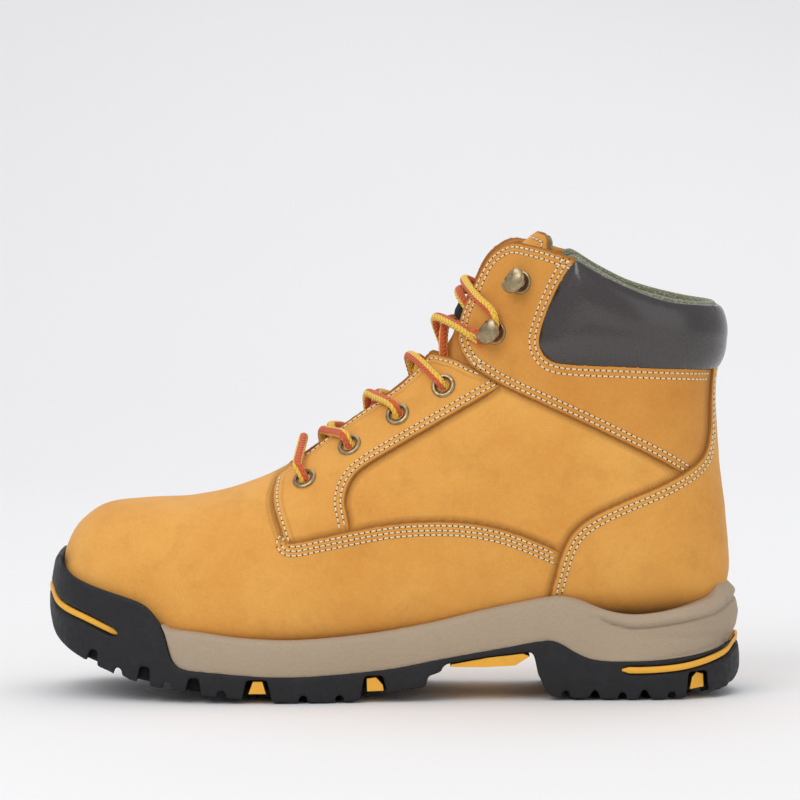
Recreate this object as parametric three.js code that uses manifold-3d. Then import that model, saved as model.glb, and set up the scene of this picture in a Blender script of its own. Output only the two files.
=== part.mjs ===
// Steel toe work boot, left foot, about EU 42-43, as its separate pieces.
// Millimetres, +Z up, toe towards -X, outer (lateral) side towards -Y.
// Origin: centre of the bounding box, on the ground.
import * as THREE from 'three';
import Module from 'manifold-3d';
import { mergeVertices } from 'three/addons/utils/BufferGeometryUtils.js';

const wasm = await Module();
wasm.setup();

// ---------------------------------------------------------------- driving dimensions
// Overall sizes. The pattern below is drawn for the first three pattern sizes and is graded to these.
const bootLength = 310;
const bootHeight = 206;
const bootWidth = 110;
const pattern = { length: 310, height: 206, width: 110 };

const gap = 0.3; // clearance between two pieces that touch
const leather = 2.0; // thickness of the upper's leather
const steelWall = 1.9; // wall of the toe cap
const counterWall = 1.9; // wall of the heel counter
const liningInside = 6.5; // how far the lining's inner face lies inside the leather's outer face
const collarBulge = 3.2; // how far the padded collar stands proud of the leather
const boardThickness = 2.7;
const footbedThickness = 5.2;
const footbedClearance = 1.0; // between the footbed's edge and the lining
const shank = { from: 5, to: 95, width: 14, thickness: 1.2 };

const tongueFace = 1.8; // leather of the tongue
const tongueLining = 3.0; // foam and mesh behind it
const throatHalf = { toe: 8, instep: 10.5, top: 22 }; // half the opening between the eyestays

const stripeDepth = 2.0; // how deep the two coloured stripes lie in the rubber
const lugDepth = 14; // how far the side notches reach in under the sole
const treadGroove = { depth: 3.2, half: 2.2 };

const lace = { radius: 2.15, sides: 8 };
const agletRadius = 1.9;
const agletLength = 22;
const eyelet = {
  hole: 3.65, wall: 0.45, flange: 5.7, flangeThick: 0.7, frontGap: 0.6, backGap: 1.2,
  back: 4.8, backThick: 0.5,
};
const hook = { base: 4.9, plate: 0.9, height: 6.6, cap: 1.0, rivet: 1.6, rivetHead: 3.0 };
const rivetBack = { radius: 3.8, thick: 0.8 };

// ---------------------------------------------------------------- pattern
const along = (x) => (x * bootLength) / pattern.length;
const up = (z) => (z * bootHeight) / pattern.height;
const across = (y) => (y * bootWidth) / pattern.width;

// Sections of the upper, from the toe over the instep to above the collar. Each is a closed oval
// between a point of the front line and a point of the bottom and back line.
// front x, front z, back x, back z, half width, centre y, height of the widest point,
// squareness of the front half, squareness of the bottom half.
const sections = [
  [-149.6, 43, -149.6, 41, 0, 9, 0.5, 2.3, 2.6],
  [-149, 50.5, -148.4, 33, 14, 9, 0.48, 2.3, 2.6],
  [-146.8, 64, -145.5, 27.5, 23.5, 8.5, 0.44, 2.3, 2.7],
  [-140.5, 75.3, -140, 24.5, 32.5, 8, 0.4, 2.3, 2.8],
  [-129, 83.4, -130, 22.5, 40, 7, 0.37, 2.3, 2.9],
  [-112, 85.7, -112, 20.5, 46, 5, 0.35, 2.3, 3],
  [-89, 87.3, -88, 18.5, 50, 2.5, 0.34, 2.25, 3],
  [-66, 93, -64, 17.5, 51, 0.5, 0.33, 2.1, 3],
  [-44, 103.5, -38, 18, 48.5, -1, 0.32, 1.9, 3],
  [-19, 123.3, -6, 20.5, 44, -2, 0.31, 1.78, 3],
  [3, 142, 32, 25.5, 41, -2, 0.32, 1.75, 2.9],
  [14.5, 156.5, 75, 30.2, 39, -1.5, 0.35, 1.78, 2.7],
  [21.5, 167.5, 118, 31, 38, -1, 0.4, 1.85, 2.5],
  [25.5, 175, 140, 35, 38, -0.5, 0.44, 1.95, 2.4],
  [28.5, 181.5, 149.3, 52, 38.5, 0, 0.47, 2.1, 2.35],
  [32.5, 189.5, 148, 79, 38.5, 0, 0.48, 2.1, 2.3],
  [38, 198.5, 145, 105, 39, 0, 0.48, 2.1, 2.25],
  [44.5, 208, 143.4, 132, 40, 0, 0.48, 2.1, 2.2],
  [52, 218, 144.5, 158, 41, 0, 0.48, 2.1, 2.2],
  [60, 228, 147, 188, 42, 0, 0.48, 2.1, 2.2],
];

// The line that the foot stands on, under the insole board.
const floorLine = [
  [-170, 28], [-140, 24.5], [-112, 20.5], [-88, 18.5], [-64, 17.5], [-38, 18], [-6, 20.5],
  [32, 25.5], [60, 29], [90, 31], [118, 31], [170, 33],
];

// Plan of the sole: lateral side from toe to heel, then medial side back to the toe.
const solePlan = [
  [-155, 9], [-153.4, -6], [-150, -18], [-143, -29], [-131, -38.5], [-113, -46], [-88, -52.8],
  [-62, -55], [-38, -53.8], [-6, -49], [32, -44], [75, -41.5], [110, -41], [132, -37], [146, -26],
  [153, -12], [155, 1], [153, 14], [146, 28], [132, 37.5], [110, 41], [75, 40], [40, 39],
  [10, 41], [-20, 47], [-50, 52.2], [-80, 54.6], [-105, 55], [-125, 53.2], [-140, 48],
  [-149.5, 37], [-153.6, 23],
];

// Side-view lines (x, z) of the upper's panels.
const tabEdge = [
  [-48, 69.5], [-50.5, 76.5], [-53, 84], [-53.5, 90], [-51.5, 96.5], [-46, 101], [-40, 112],
];
const eyestayRear = [
  [-18.5, 72], [-20.5, 82], [-21.5, 88], [-19.5, 95], [-14, 101.5], [3, 112], [34, 130], [52, 141],
];
const wingTop = [[-48, 69.5], [-41.5, 70.3], [-19, 75], [3, 78.6], [29, 79], [51, 75], [74.5, 65.5]];
const heelFront = [
  [67.5, 20], [69, 45.5], [71, 55], [74.5, 66.5], [79, 74.5], [87, 81], [100, 87.5], [118, 95],
  [131, 102], [137.5, 108.5], [139.7, 118.5], [140, 132], [141.2, 146],
];
const hookstayFront = [
  [34.5, 146.5], [30.5, 152], [28.7, 160], [30.5, 169], [34.5, 178], [38.5, 187], [42.5, 194],
  [47, 198.3], [52.5, 201.2], [58, 201], [67, 199], [80, 194.8],
];
const hookstayLower = [
  [34.5, 146.5], [47, 139], [65, 131], [87, 121], [113, 108], [127, 99.8], [135, 95],
];
const collarLower = [
  [80, 194], [74, 184], [69, 173], [65.4, 162], [65.2, 156], [69, 151], [78, 149.2], [100, 148.3],
  [126, 147], [141.5, 145.8], [160, 145],
];
const collarTop = [
  [80, 194], [91.5, 187], [109, 179], [122, 175], [135.5, 173.3], [143, 172.3], [147.5, 168.5],
  [149.5, 162], [160, 160],
];
const liningTop = [[76, 196.3], [80, 195], [91.5, 188], [109, 180], [135, 174.4], [160, 173.6]];
const liningFront = [
  [-62, 110], [-61, 95], [-56, 83], [-45, 77], [-32, 80], [-8, 98], [16, 112],
  [40, 126], [58, 142], [66, 160], [72, 182], [76, 196.3],
];

// Side-view lines of the sole.
const midsoleTop = [
  [-103.3, 35], [-99, 32.3], [-85.5, 30.8], [-66, 28.4], [-41.5, 27.6], [-10.5, 30], [16, 34.3],
  [38, 39.5], [60.5, 44.2], [69, 45.6], [75, 45.8], [82.5, 44], [92, 40.2], [102, 38], [113, 38],
  [128, 40.3], [144, 44], [148.3, 47.5], [149.3, 50.4],
];
const midsoleBack = [[149.3, 50.4], [152, 46], [154.3, 40], [154.6, 36], [153.6, 30], [152.3, 27]];
const midsoleBottom = [
  [152.3, 27], [147, 23], [135.5, 19.8], [118, 17.6], [100, 17.2], [88, 18], [80, 21.2], [74, 24.8],
  [67, 26.4], [47, 23], [20.5, 18.5], [-3, 14.4], [-32, 12], [-55, 11.6], [-80, 13.4], [-92, 14.6],
  [-97, 17.5], [-99.3, 22.5], [-100.8, 28.5],
];
const bumperTop = [
  [-158, 63.5], [-148.6, 62.5], [-147, 57.5], [-142, 53.3], [-133, 49.8], [-122, 46.6], [-112.5, 43.6],
  [-107.5, 40.2], [-103.3, 35],
];
const toeProfile = [
  [-148.6, 62.5], [-151.5, 59.5], [-153.3, 53], [-154.6, 46], [-154.6, 39], [-153.3, 32.5],
  [-150.2, 26], [-143, 20.3], [-132.5, 15.2],
];
const ballBottom = [
  [-132.5, 15.2], [-113, 8.3], [-90.5, 4], [-67, 1.6], [-50, 0.3], [-36, 0], [-28, 0], [-18, 0.4],
  [-4, 3.8], [14, 6.4],
];
const archBottom = [
  [15.2, 11], [20.5, 13], [24, 16.4], [42, 19.4], [57.5, 21], [61.5, 20.2], [63.5, 12], [67.5, 3.2],
];
const heelBottom = [
  [67.5, 3.2], [73, 1.1], [90, 0.4], [104, 0], [118, 0], [130, 0.7], [146.5, 3.4], [151.5, 6],
  [154.3, 10], [155, 14], [153.8, 22],
];

// Notches between the side lugs, open downwards.
const lugNotches = [
  [[-137.5, 12], [-134.5, 22], [-131, 22], [-131.5, 12]],
  [[-114.5, 4], [-112, 15.5], [-108, 15.5], [-107.5, 3]],
  [[-93.5, 0], [-90, 11], [-86, 11], [-84.5, 0]],
  [[-67.5, -2], [-65, 10.3], [-56, 10.3], [-53, -2]],
  [[-15.5, -2], [-13, 11.6], [-5, 11.6], [-1.5, -2]],
  [[84, -2], [89, 5.2], [92.5, -2]],
  [[107, -2], [110.5, 5.6], [115.5, -2]],
  [[129, -2], [130.5, 12], [138.5, 12.4], [140, -2]],
];
// Coloured inlays that show in three of the notches, lateral and medial.
const inlays = {
  ball_inlay_front: [[-64, 4.2], [-62, 9.6], [-58, 9.6], [-56.4, 4.2]],
  ball_inlay_rear: [[-11.8, 4.8], [-12, 10.4], [-8, 10.9], [-5, 7.6], [-4.6, 5]],
  heel_inlay: [[131, 4.4], [132, 9.5], [134, 11.6], [137, 10.6], [137.2, 5]],
};
const treadGrooves = [-122, -100, -76, -59.5, -40, -24, -8.5, 76, 89, 101, 111, 123, 134.5];
const toeStripe = [
  [-158, 47.8], [-154, 45.8], [-151, 41.8], [-146, 39], [-138, 36], [-129, 32.2], [-122, 29],
];
const heelStripe = [
  [100.5, 13.4], [109, 13.2], [120, 13.7], [130, 14.9], [141, 17.4], [149, 20.2], [153, 23.6], [158, 27],
];
const stripeHalf = 1.35;

// Where the lacing hardware sits on the lateral side (x, z). The medial side mirrors it.
const eyeletPlaces = [[-39.4, 96.4], [-19.5, 111.2], [1.8, 125], [22.1, 137.8]];
const hookPlaces = [[45, 162], [56, 184.3]];

// The lace, from one hanging end to the other: under the lateral flap's opposite side, round the lateral
// hook, down through the eyelets to the bar at the toe end, up the other way and round the medial hook.
const laceRoute = [
  [79, 26.8, 94], [79, 27.4, 110], [78.5, 28.2, 126], [77, 28.5, 139], [74, 27.5, 152],
  [68.5, 26, 163], [59, 26, 161], [50, 22, 171.5], [44, 18, 176.5], [37.5, 13, 181],
  [31.5, -1, 184], [36.5, -22, 177.5], [43, -30.5, 171.5], [44.5, -31.5, 166], [43, -31, 162],
  [39.5, -29, 160], [35, -26.5, 162], [37.5, -26.5, 158.5], [28.5, -17.5, 164], [18.5, -2.5, 167],
  [22.5, 6, 153], [24, 13.5, 138.2], [23, 17.8, 136.8], [21.5, 21.3, 138.4], [18.5, 22.5, 141.5],
  [10.5, 11, 148.5], [11, -1.5, 146], [9, -8.5, 138], [4.5, -15.5, 124], [2.5, -20, 124],
  [1.5, -23, 126], [-1, -23.5, 130], [-7.5, -13.5, 132.5], [-12, -2, 132.5], [-11.5, 6, 120],
  [-16.5, 12.5, 109.5], [-18.5, 16.5, 109.5], [-20, 19.5, 112], [-22.5, 19.5, 116.5],
  [-27.5, 10, 118], [-28, 5, 117.5], [-28, -1, 111.8], [-31.5, -9.5, 105], [-36, -19.5, 94],
  [-38.5, -24, 94.5], [-40, -26.5, 97.5], [-42, -26, 101.5], [-43, -24, 103.5],
  [-41.5, -13.5, 109.5], [-40.5, -1.5, 113.5], [-41.5, 12, 109.5], [-43, 21.5, 103.5],
  [-42, 23.5, 101.5], [-40, 24, 97.5], [-38.5, 21.5, 94.5], [-36.5, 17, 94], [-31.5, 5.8, 105],
  [-32, -2, 116], [-28, -13, 117], [-22.5, -23.5, 116.5], [-20, -23.5, 112],
  [-18.5, -20.5, 109.5], [-16.5, -16.5, 109.5], [-11.5, -9, 121], [-8, -1.5, 128.8],
  [-7, 11, 132.4], [-1, 19.5, 130], [1.5, 19, 126], [2.5, 16, 124], [4.5, 11.5, 124],
  [9, 5.5, 137], [6.5, -2, 149.5], [10.5, -14, 149], [18.5, -26, 142], [21.5, -24.5, 138.5],
  [23, -21, 137], [24, -16.5, 138], [22, -8.5, 152.5], [23, -1, 164], [28, 13.5, 165.5],
  [36.5, 25, 159], [35, 26, 162], [39.5, 28.5, 159.5], [42.5, 30.5, 162], [44, 31.5, 166],
  [42.5, 30.5, 171.5], [36.5, 22, 177.5], [29, -1, 179], [34, -12.5, 170.5], [41, -18, 162],
  [48, -21.5, 155], [58, -26, 156.5], [68.5, -26, 163], [74, -27.5, 152], [77, -28.5, 139],
  [78.5, -28.2, 126], [79, -27.4, 110], [79, -26.8, 94],
];

// ---------------------------------------------------------------- small tools
function toSolid(geometry) {
  const bare = geometry.clone();
  bare.deleteAttribute('normal');
  bare.deleteAttribute('uv');
  const merged = mergeVertices(bare, 1e-4);
  const vertProperties = new Float32Array(merged.attributes.position.array);
  const triVerts = new Uint32Array(merged.index.array);
  return new wasm.Manifold(new wasm.Mesh({ numProp: 3, vertProperties, triVerts }));
}

function toGeometry(body) {
  const mesh = body.getMesh();
  const geometry = new THREE.BufferGeometry();
  geometry.setAttribute('position', new THREE.BufferAttribute(mesh.vertProperties, mesh.numProp));
  geometry.setIndex(new THREE.BufferAttribute(mesh.triVerts, 1));
  return geometry;
}

// The largest piece of a cut, without its offcuts.
function largest(body) {
  const parts = body.decompose();
  return parts.reduce((a, b) => (b.volume() > a.volume() ? b : a));
}

// Points of a smooth line through the given ones.
function smooth(points, perSpan = 2) {
  const curve = new THREE.SplineCurve(points.map((p) => new THREE.Vector2(p[0], p[1])));
  return curve.getPoints((points.length - 1) * perSpan).map((p) => [p.x, p.y]);
}

// Joins lines end to end into one outline, without doubled points.
function outline(...lines) {
  const joined = [];
  for (const point of lines.flat()) {
    const last = joined[joined.length - 1];
    if (!last || Math.hypot(point[0] - last[0], point[1] - last[1]) > 0.02) joined.push(point);
  }
  const [first, end] = [joined[0], joined[joined.length - 1]];
  if (Math.hypot(first[0] - end[0], first[1] - end[1]) < 0.02) joined.pop();
  return joined;
}

// An outline moved outwards by d (inwards when d is negative).
function grow(points, d) {
  const area = THREE.ShapeUtils.area(points.map((p) => new THREE.Vector2(p[0], p[1])));
  const turn = Math.sign(area) * d;
  return points.map((p, i) => {
    const before = points[(i + points.length - 1) % points.length];
    const after = points[(i + 1) % points.length];
    const a = new THREE.Vector2(p[0] - before[0], p[1] - before[1]).normalize();
    const b = new THREE.Vector2(after[0] - p[0], after[1] - p[1]).normalize();
    const n = new THREE.Vector2(a.y + b.y, -a.x - b.x).normalize();
    const reach = turn / Math.max(0.5, n.x * a.y - n.y * a.x);
    return [p[0] + n.x * reach, p[1] + n.y * reach];
  });
}

const sideLine = (points) => points.map((p) => [along(p[0]), up(p[1])]);

function extrude(points, depth) {
  const shape = new THREE.Shape(points.map((p) => new THREE.Vector2(p[0], p[1])));
  return new THREE.ExtrudeGeometry(shape, { depth, bevelEnabled: false });
}

// A side-view outline (already graded) carried across the boot, from y0 to y1.
const reachY = across(100);
function sidePrism(points, y0 = -reachY, y1 = reachY) {
  const geometry = extrude(points, y1 - y0);
  geometry.rotateX(Math.PI / 2);
  geometry.translate(0, y1, 0);
  return toSolid(geometry);
}

// A plan outline carried from z0 to z1.
function planPrism(points, z0 = -20, z1 = up(120)) {
  const geometry = extrude(points, z1 - z0);
  geometry.translate(0, 0, z0);
  return toSolid(geometry);
}

// ---------------------------------------------------------------- the upper's surface
const lastSection = sections.length - 1;

// A section's nine values at place u along the list, by a smooth curve through the list.
function sectionAt(u) {
  const i = Math.min(Math.max(Math.floor(u), 0), lastSection - 1);
  const t = u - i;
  const pick = (k) => sections[Math.min(Math.max(k, 0), lastSection)];
  const [a, b, c, d] = [pick(i - 1), pick(i), pick(i + 1), pick(i + 2)];
  const values = b.map((_, k) => {
    const slope0 = (c[k] - a[k]) / 2;
    const slope1 = (d[k] - b[k]) / 2;
    const t2 = t * t;
    const t3 = t2 * t;
    const places = (2 * t3 - 3 * t2 + 1) * b[k] + (3 * t2 - 2 * t3) * c[k];
    return places + (t3 - 2 * t2 + t) * slope0 + (t3 - t2) * slope1;
  });
  const [fx, fz, bx, bz, half, centre, widest, squareTop, squareBottom] = values;
  return {
    front: new THREE.Vector2(along(fx), up(fz)),
    back: new THREE.Vector2(along(bx), up(bz)),
    half: across(Math.max(half, 0)),
    centre: across(centre),
    widest, squareTop, squareBottom,
  };
}

// The section moved outwards by h: its front line and back line along their own normals, its width
// along the normal of the plan. The bottom stays on the floor line.
function offsetSection(u, h) {
  const s = sectionAt(u);
  const step = 0.02;
  const [a, b] = [sectionAt(Math.max(u - step, 0)), sectionAt(Math.min(u + step, lastSection))];
  const df = b.front.clone().sub(a.front).normalize();
  const db = b.back.clone().sub(a.back).normalize();
  const mid = (k) => k.front.clone().add(k.back).multiplyScalar(0.5);
  const run = mid(b).distanceTo(mid(a));
  const sideways = run / Math.hypot(run, b.half - a.half);
  s.front.add(new THREE.Vector2(-df.y, df.x).multiplyScalar(h));
  s.back.x += db.y * h;
  s.half += sideways * h;
  return s;
}

function ovalPoint(s, heightShare, sideShare) {
  const low = heightShare < 0;
  const f = s.widest + (low ? s.widest : 1 - s.widest) * heightShare;
  const p = s.back.clone().lerp(s.front, f);
  return new THREE.Vector3(p.x, s.centre + s.half * sideShare, p.y);
}

// A point on the section's oval; angle 0 is its front, negative angles are lateral.
function aroundOval(s, angle) {
  const [c, n] = [Math.cos(angle), Math.sin(angle)];
  const square = c >= 0 ? s.squareTop : s.squareBottom;
  const r = (Math.abs(c) ** square + Math.abs(n) ** square) ** (-1 / square);
  return ovalPoint(s, c * r, n * r);
}

// A point of the front half at a distance y from the section's centre.
function frontPoint(u, y, h) {
  const s = offsetSection(u, h);
  const share = Math.max(-1, Math.min(1, y / s.half));
  return ovalPoint(s, (1 - Math.abs(share) ** s.squareTop) ** (1 / s.squareTop), share);
}

// The outward normal there.
function frontNormal(u, y) {
  const step = 0.05;
  const seam = frontPoint(u + step, y, 0).sub(frontPoint(u - step, y, 0));
  const around = frontPoint(u, y + step, 0).sub(frontPoint(u, y - step, 0));
  return seam.cross(around).normalize();
}

const ringPlaces = [
  0.5, 1, 1.7, 2.5, 3.3, 4.1, 5, 6, 7, 7.8, 8.6, 9.4, 10.2, 11, 11.8, 12.6, 13.4, 14.2, 15.2, 16.4, 17.8, 19,
];
const ringPoints = 22;

// The whole upper as one closed body, its outer leather face moved outwards by h.
function skin(h) {
  const rings = ringPlaces.map((u) => {
    const s = offsetSection(u, h);
    return Array.from({ length: ringPoints }, (_, k) => aroundOval(s, (2 * Math.PI * k) / ringPoints));
  });
  const tip = offsetSection(0, h);
  const tipMiddle = tip.front.clone().add(tip.back).multiplyScalar(0.5);
  const points = [new THREE.Vector3(tipMiddle.x, tip.centre, tipMiddle.y)];
  points.push(...rings.flat());
  const end = rings[rings.length - 1];
  points.push(end.reduce((sum, p) => sum.add(p), new THREE.Vector3()).divideScalar(ringPoints));
  const at = (ring, k) => 1 + ring * ringPoints + (k % ringPoints);
  const faces = [];
  for (let k = 0; k < ringPoints; k += 1) {
    faces.push([0, at(0, k), at(0, k + 1)]);
    faces.push([points.length - 1, at(rings.length - 1, k + 1), at(rings.length - 1, k)]);
    for (let r = 0; r < rings.length - 1; r += 1) {
      faces.push([at(r, k), at(r + 1, k), at(r, k + 1)]);
      faces.push([at(r, k + 1), at(r + 1, k), at(r + 1, k + 1)]);
    }
  }
  return fromFaces(points, faces);
}

function fromFaces(points, faces) {
  const vertProperties = new Float32Array(points.flatMap((p) => [p.x, p.y, p.z]));
  const build = (list) => {
    const triVerts = new Uint32Array(list.flat());
    return new wasm.Manifold(new wasm.Mesh({ numProp: 3, vertProperties, triVerts }));
  };
  const body = build(faces);
  return body.volume() > 0 ? body : build(faces.map(([a, b, c]) => [a, c, b]));
}

// A layer of the upper between two offsets.
const layer = (inside, outside) => skin(outside).subtract(skin(inside));

// ---------------------------------------------------------------- floor
const floor = sideLine(floorLine);
const [floorStart, floorEnd] = [floor[0], floor[floor.length - 1]];

// The space between the floor line raised by low and the same line raised by high.
function floorSlab(low, high) {
  const bottom = floor.map((p) => [p[0], p[1] + low]);
  const top = floor.map((p) => [p[0], p[1] + high]).reverse();
  return sidePrism(outline(bottom, top));
}
const skyHigh = up(260);
function aboveFloor(low) {
  const bottom = floor.map((p) => [p[0], p[1] + low]);
  return sidePrism(outline(bottom, [[floorEnd[0], skyHigh], [floorStart[0], skyHigh]]));
}
const overBoard = aboveFloor(boardThickness + gap);

// ---------------------------------------------------------------- upper panels
const low = up(-20);
const far = along(200);
const drawn = (points, perSpan) => smooth(sideLine(points), perSpan);

const heelOutline = outline(drawn(heelFront), [[far, up(146)], [far, low], [along(67.5), low]]);
const vampOutline = outline(
  [[-far, low], [-far, up(140)], [along(-40), up(140)]], drawn(tabEdge).reverse(), drawn(wingTop),
  [[along(80), up(60)], [along(80), low]],
);
const collarOutline = outline(
  drawn(collarLower), [[far, up(145)], [far, up(160)]], drawn(collarTop).reverse(),
);
const hookstayOutline = outline(
  drawn(hookstayFront), drawn(collarTop).slice(1), [[far, up(160)], [far, up(95)]],
  drawn(hookstayLower).reverse(),
);
const eyestayOutline = outline(
  [[along(-60), up(65)], [along(-60), up(160)], [along(20), up(175)], [along(40), up(160)]],
  drawn(eyestayRear).reverse(),
);
const quarterOutline = sideLine([[-25, 60], [-25, 100], [34, 150], [90, 130], [145, 110], [145, 60]]);

// The opening between the two eyestays, seen from above.
const throatCentre = -1.5;
const throatEdge = [
  [-62, throatHalf.toe], [-30, throatHalf.toe], [0, throatHalf.instep], [25, throatHalf.instep + 1],
  [36, throatHalf.top], [90, throatHalf.top],
];
const throatSide = (sign) => throatEdge.map(([x, y]) => [along(x), across(throatCentre + sign * y)]);
const throat = planPrism(outline(throatSide(1), throatSide(-1).reverse()), 0, skyHigh);

const leatherLayer = layer(-leather, 0).intersect(overBoard);
const grown = (points) => sidePrism(grow(points, gap));
const half = {
  lateral: (points) => sidePrism(points, -reachY, -gap / 2),
  medial: (points) => sidePrism(points, gap / 2, reachY),
};

const heelPanel = largest(leatherLayer.intersect(sidePrism(heelOutline)).subtract(grown(collarOutline)));
const vamp = largest(leatherLayer.intersect(sidePrism(vampOutline)).subtract(grown(heelOutline)));
const collarLayer = layer(-leather, collarBulge);
const collarPad = largest(collarLayer.intersect(sidePrism(collarOutline)));

function hookstay(name) {
  const covers = grown(heelOutline).add(grown(collarOutline));
  return largest(leatherLayer.intersect(half[name](hookstayOutline)).subtract(covers).subtract(throat));
}
function eyestay(name) {
  const covers = grown(vampOutline).add(grown(hookstayOutline)).add(grown(heelOutline));
  return largest(leatherLayer.intersect(half[name](eyestayOutline)).subtract(covers).subtract(throat));
}
function quarter(name) {
  const panel = leatherLayer.intersect(half[name](quarterOutline));
  const covers = [vampOutline, hookstayOutline, heelOutline, eyestayOutline];
  return largest(covers.reduce((body, cover) => body.subtract(grown(cover)), panel));
}

// ---------------------------------------------------------------- stiffeners and lining
const capEdge = [[-96, 5], [-97, 30], [-100, 60], [-95, 100]];
const capOutline = outline(drawn(capEdge), [[-far, up(100)], [-far, low]]);
const counterEdge = [[72, 20], [73, 50], [82, 68], [100, 80], [125, 90], [150, 92]];
const counterOutline = outline(drawn(counterEdge), [[far, up(92)], [far, low]]);
const capInside = leather + gap + steelWall;
const counterInside = leather + gap + counterWall;
const underLeather = -leather - gap;
const toeCap = largest(
  layer(-capInside, underLeather).intersect(sidePrism(capOutline)).intersect(overBoard),
);
const heelCounter = largest(
  layer(-counterInside, underLeather).intersect(sidePrism(counterOutline)).intersect(overBoard),
);

const liningOutline = outline(
  [[-far, low], [-far, up(130)], [along(-62), up(130)]], drawn(liningFront), drawn(liningTop),
  [[far, up(173)], [far, low]],
);
const lining = largest(
  layer(-liningInside, underLeather)
    .subtract(layer(-capInside - gap, 0).intersect(grown(capOutline)))
    .subtract(layer(-counterInside - gap, 0).intersect(grown(counterOutline)))
    .intersect(sidePrism(liningOutline))
    .intersect(overBoard),
);

// ---------------------------------------------------------------- insole, footbed, shank
const board = largest(skin(0).intersect(floorSlab(-8, boardThickness)));
const footbedBase = boardThickness + gap;
const footbed = largest(
  skin(-liningInside - footbedClearance).intersect(floorSlab(footbedBase, footbedBase + footbedThickness)),
);
const shankTop = -2 * gap;
function shankBlank(clear) {
  const x0 = along(shank.from) - clear;
  const x1 = along(shank.to) + clear;
  const y = shank.width / 2 + clear;
  const band = sidePrism(outline([[x0, low], [x0, skyHigh], [x1, skyHigh], [x1, low]]), -y, y);
  return floorSlab(shankTop - shank.thickness - clear, shankTop + clear).intersect(band);
}

// ---------------------------------------------------------------- sole
const plan = solePlan.map((p) => [along(p[0]), across(p[1])]);
const wholePlan = planPrism(plan);
// A band along the sole's edge, from just outside it to the given depth inside.
const rim = (depth) => planPrism(grow(plan, 1)).subtract(planPrism(grow(plan, -depth)));

const midsoleOutline = outline(
  drawn(midsoleTop), drawn(midsoleBack, 1), drawn(midsoleBottom, 1), sideLine([midsoleTop[0]]),
);
const footSpace = skin(gap).translate([0, 0, -gap]);
const midsole = largest(
  sidePrism(midsoleOutline).intersect(wholePlan).subtract(footSpace).subtract(shankBlank(gap)),
);

const outsoleOutline = outline(
  drawn(toeProfile, 1), drawn(ballBottom, 1), drawn(archBottom, 1), drawn(heelBottom, 1),
  sideLine([midsoleBottom[0], [120, 50], [70, 60], [-80, 60], midsoleTop[0]]),
  drawn(bumperTop, 1).slice(1).reverse(),
);
const stripePrism = (points, clear) => {
  const centre = drawn(points, 2);
  const ends = stripeHalf + clear;
  const upper = centre.map((p) => [p[0], p[1] + ends]);
  const lower = centre.map((p) => [p[0], p[1] - ends]).reverse();
  return sidePrism(outline(upper, lower));
};
const stripe = (points) => largest(
  stripePrism(points, 0).intersect(planPrism(plan)).subtract(planPrism(grow(plan, -stripeDepth))),
);
const stripeGroove = (points) => stripePrism(points, gap).intersect(rim(stripeDepth + gap));

function soleHeightAt(x) {
  const line = [...sideLine(ballBottom), ...sideLine(heelBottom)];
  const i = line.findIndex((p) => p[0] > x);
  const [a, b] = [line[i - 1], line[i]];
  return a[1] + ((b[1] - a[1]) * (x - a[0])) / (b[0] - a[0]);
}
function treadCut(x) {
  const z = soleHeightAt(x);
  const { depth, half: mouth } = treadGroove;
  const root = mouth * 0.7;
  return sidePrism([[x - mouth, z - 9], [x + mouth, z - 9], [x + root, z + depth], [x - root, z + depth]]);
}

const edgeBand = rim(lugDepth);
const inlaySet = 1.2; // how far the inlays and the arch plate lie inside the sole's edge
const inlayBand = planPrism(grow(plan, -inlaySet)).subtract(planPrism(grow(plan, gap - lugDepth)));
function inlayPair(points) {
  const pieces = inlayBand.intersect(sidePrism(sideLine(points))).decompose();
  return pieces.sort((a, b) => a.boundingBox().min[1] - b.boundingBox().min[1]);
}
const archPlateOutline = sideLine([
  [24.8, 15], [25, 16], [42, 19], [57, 20.6], [60, 19.4], [53.5, 15.4], [40, 14.8],
]);
const archPlate = largest(sidePrism(archPlateOutline).intersect(planPrism(grow(plan, -inlaySet))));

const outsoleBody = sidePrism(outsoleOutline)
  .intersect(wholePlan)
  .subtract(grown(midsoleOutline))
  .subtract(footSpace);
const notches = lugNotches.map((points) => sidePrism(sideLine(points)).intersect(edgeBand));
const grooves = treadGrooves.map((x) => treadCut(along(x)));
const outsoleCuts = [
  ...notches, ...grooves, stripeGroove(toeStripe), stripeGroove(heelStripe), grown(archPlateOutline),
];
const outsole = largest(outsoleCuts.reduce((body, cut) => body.subtract(cut), outsoleBody));

// ---------------------------------------------------------------- tongue
const tongueLine = { from: 7.45, to: 17.75 };
// Offset of the tongue's face along its middle and under the eyestays, by section place.
const tongueMiddle = [
  [7.4, -2.4], [8.2, -8.2], [11.6, -8.2], [12.6, -5.4], [14, -5.6], [15, -8], [16.5, -12.5], [17.8, -17],
];
const tongueWing = [[7.4, -2.4], [8.2, -9.3], [12, -9.3], [14, -8.8], [16, -10.5], [17.8, -16]];
const tongueHalf = [
  [7.4, 14], [8, 17], [9, 21], [10.5, 25], [12, 29], [14, 31.5], [15.5, 32], [16.7, 30],
  [17.4, 23], [17.8, 12],
];

function graph(points, x) {
  const i = Math.min(Math.max(points.findIndex((p) => p[0] > x), 1), points.length - 1);
  const [a, b] = [points[i - 1], points[i]];
  return a[1] + ((b[1] - a[1]) * (x - a[0])) / (b[0] - a[0]);
}

function tonguePoint(u, share, inside) {
  const y = share * graph(tongueHalf, u);
  const t = THREE.MathUtils.smoothstep(Math.abs(y), 5, 12);
  const h = THREE.MathUtils.lerp(graph(tongueMiddle, u), graph(tongueWing, u), t);
  const place = frontPoint(u, across(y), 0);
  return place.addScaledVector(frontNormal(u, across(y)), h - inside);
}

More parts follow.
